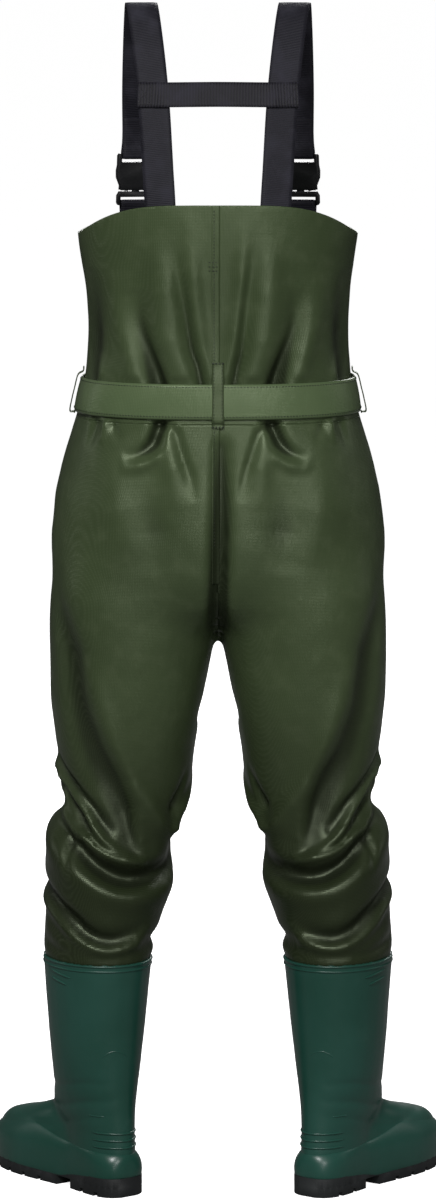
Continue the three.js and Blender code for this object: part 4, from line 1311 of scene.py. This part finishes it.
def on_strip(node, start, end, v0, v1, count):
    """A line on a strip's outside, between shares of its length and places across it."""
    middles, widths, outs = lines[node]
    tree, row = tree_of(straps[node]), []
    for t in np.linspace(0, 1, count):
        at = (start + (end - start) * t) * (len(middles) - 1)
        i = min(int(at), len(middles) - 2)
        part = at - i
        c, w, o = (a[i] * (1 - part) + a[i + 1] * part for a in (middles, widths, outs))
        place, away = Vector(c + w * (v0 + (v1 - v0) * t)), Vector(o).normalized()
        hit = tree.ray_cast(place + away * 0.008, -away)[0]
        if hit is not None:
            row.append((hit + away * 0.0002, away))
    return row


SEAM_STITCH_X = -0.0056
SEAM_STEP = 0.006
BELT_EDGE, LOOP_EDGE, BOX_EDGE = 0.0212, 0.0058, 0.0145  # a row's distance from the middle
cloth_tree = tree_of(*garment.values(), *bands.values())
cloth_rows = []
for low, high, behind in (
    (belt_high.z + 0.03, bib_top - 0.006, -1),
    (0.96, belt_low.z - 0.016, -1),
    (belt_high.z + 0.006, 1.40, 1),
):
    places = [(SEAM_STITCH_X, z) for z in np.arange(low, high, SEAM_STEP)]
    cloth_rows.append(laid_on(cloth_tree, places, behind))
for z in (1.3635, 1.3575, 1.3515):
    cloth_rows.append(laid_on(cloth_tree, [(x / 1000, z) for x in range(-12, 0, 2)]))
belt_rows = []
for v in (-BELT_EDGE, BELT_EDGE):
    belt_rows.append(on_strip("waist_belt", 0.005, 0.995, v, v, 300))
for node in ("belt_loop_back", "belt_loop_front_left", "belt_loop_front_right"):
    for v in (-LOOP_EDGE, LOOP_EDGE):
        belt_rows.append(on_strip(node, 0.04, 0.96, v, v, 60))
    for at in (0.03, 0.06, 0.94, 0.97):
        belt_rows.append(on_strip(node, at, at, -0.007, 0.007, 6))
box_rows = []
for start, end in ((0.025, 0.15), (0.975, 0.85)):
    for a, b, v0, v1 in (
        (start, end, -1, -1), (start, end, 1, 1),
        (start, start, -1, 1), (end, end, -1, 1),
        (start, end, -1, 1), (start, end, 1, -1),
    ):
        box_rows.append(on_strip("cross_strap", a, b, v0 * BOX_EDGE, v1 * BOX_EDGE, 14))
GREEN_STITCH = (0.0046, (0.0032, 0.0014, 0.0010), green_thread)  # pitch, bead, thread
BLACK_STITCH = (0.0038, (0.0028, 0.0013, 0.0010), black_thread)
cloth_stitches = stitches("cloth_stitches", cloth_rows, *GREEN_STITCH)
belt_stitches = stitches("belt_stitches", belt_rows, *GREEN_STITCH)
strap_stitches = stitches("strap_stitches", box_rows, *BLACK_STITCH)

# %% [markdown]
# ## The floor
# A wide pale floor. The camera sees it as plain white, like the background, while to the
# lamps it is a mid grey that throws little light back up.

# %% Floor
FLOOR_GLOW = 0.93
FLOOR_RADIUS = 60
floor_shape = bmesh.new()
bmesh.ops.create_circle(floor_shape, cap_ends=True, segments=64, radius=FLOOR_RADIUS)
floor = shape_object("floor", floor_shape)
paint = Finish("floor_paint", Specular_IOR_Level=0.2)
patches = paint.ramp(paint.clouds(2.0, 3), 0.3, 0.7)
pale = paint.blend(patches, linear(248, 248, 248), linear(252, 252, 252))
seen = paint.node("ShaderNodeLightPath").outputs["Is Camera Ray"]
pale = paint.blend(seen, linear(120, 120, 120), pale)
glow = paint.maths("MULTIPLY", seen, FLOOR_GLOW)
paint.shader.inputs["Emission Color"].default_value = (1, 1, 1, 1)
paint.tree.links.new(glow, paint.shader.inputs["Emission Strength"])
matt = paint.ramp(paint.clouds(8), 0.3, 0.7, 0.7, 0.8)
floor.data.materials.append(paint.done(pale, matt))

# %% [markdown]
# ## Handing the pieces to the frame
# Every piece takes its finish, hides the imported nodes that it stands for, and rides on the body
# that carries it. Webbing that reaches a sliding tongue rides on no body, and its place is baked
# into its mesh.


# %% Paint, replace and ride
def hand_over(obj, material, slot, body, *replaced):
    """Gives a piece its finish, hides the imported nodes that it stands for and puts it on its
    body. slot is not used.
    """
    if material is not None:
        obj.data.materials.clear()
        obj.data.materials.append(material)
    if replaced:
        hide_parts(*replaced)
    if body:
        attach(obj, body)


for side, _ in SIDES:
    hand_over(garment[f"bib_{side}"], body_cloth, "coated_fabric", "root", f"bib_panel_{side}")
    hand_over(garment[f"leg_{side}"], body_cloth, "coated_fabric", "root", f"leg_panel_{side}")
    hand_over(bands[f"facing_{side}"], body_cloth, "coated_fabric", "root", f"hem_facing_{side}")
    hand_over(boots[side], boot_pvc, "boot_pvc", "root", f"boot_upper_{side}")
    hand_over(ridges[f"boot_ridges_{side}"], boot_pvc, "boot_pvc", "root", f"boot_top_band_{side}")
    hand_over(ridges[f"boot_welt_{side}"], boot_pvc, "boot_pvc", "root")
    hand_over(mouldings[f"outsole_{side}"], sole_rubber, "sole_pvc", "root", f"outsole_{side}")
    hand_over(mouldings[f"insole_{side}"], insole_felt, "insole_foam", "root", f"insole_{side}")
for seam in ("back_seam", "front_seam", "seat_seam", "fly_seam"):
    hand_over(bands[seam], body_cloth, "coated_fabric", "root", f"{seam}_strip")
hand_over(cloth_stitches, None, "coated_fabric", "root")
hand_over(belt_stitches, None, "belt_fabric", "root")
hand_over(strap_stitches, None, "webbing", "root")
MOVING = {
    "front_tab_left": "strap_buckle_left",
    "front_tab_right": "strap_buckle_right",
    "belt_end_tongue_side": "belt_buckle",
}
for node, obj in straps.items():
    if "belt" in node and "end" not in node:
        cloth = belt_cloth if node == "waist_belt" else body_cloth
        hand_over(obj, cloth, "belt_fabric", "root", node)
        continue
    cloth = cross_webbing if node == "cross_strap" else strap_webbing
    hand_over(obj, cloth, "webbing", None if node in MOVING else "root", node)
for node, prefix in MOVING.items():
    low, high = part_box(f"{prefix}_tongue")
    tab_low, tab_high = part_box(node)
    if prefix == "belt_buckle":
        start, end = (tab_high.x, 0, low.z), (high.x, 0, low.z)
    else:
        start, end = (low.x, low.y, tab_low.z), (low.x, low.y, low.z)
    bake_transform(straps[node])
for prefix in BUCKLES:
    for part in BUCKLE_PARTS:
        body = "root" if part == "socket" else f"{prefix}_{part}_body"
        node = f"{prefix}_{part}"
        hand_over(mouldings[node], buckle_nylon, "buckle_nylon", body, node)
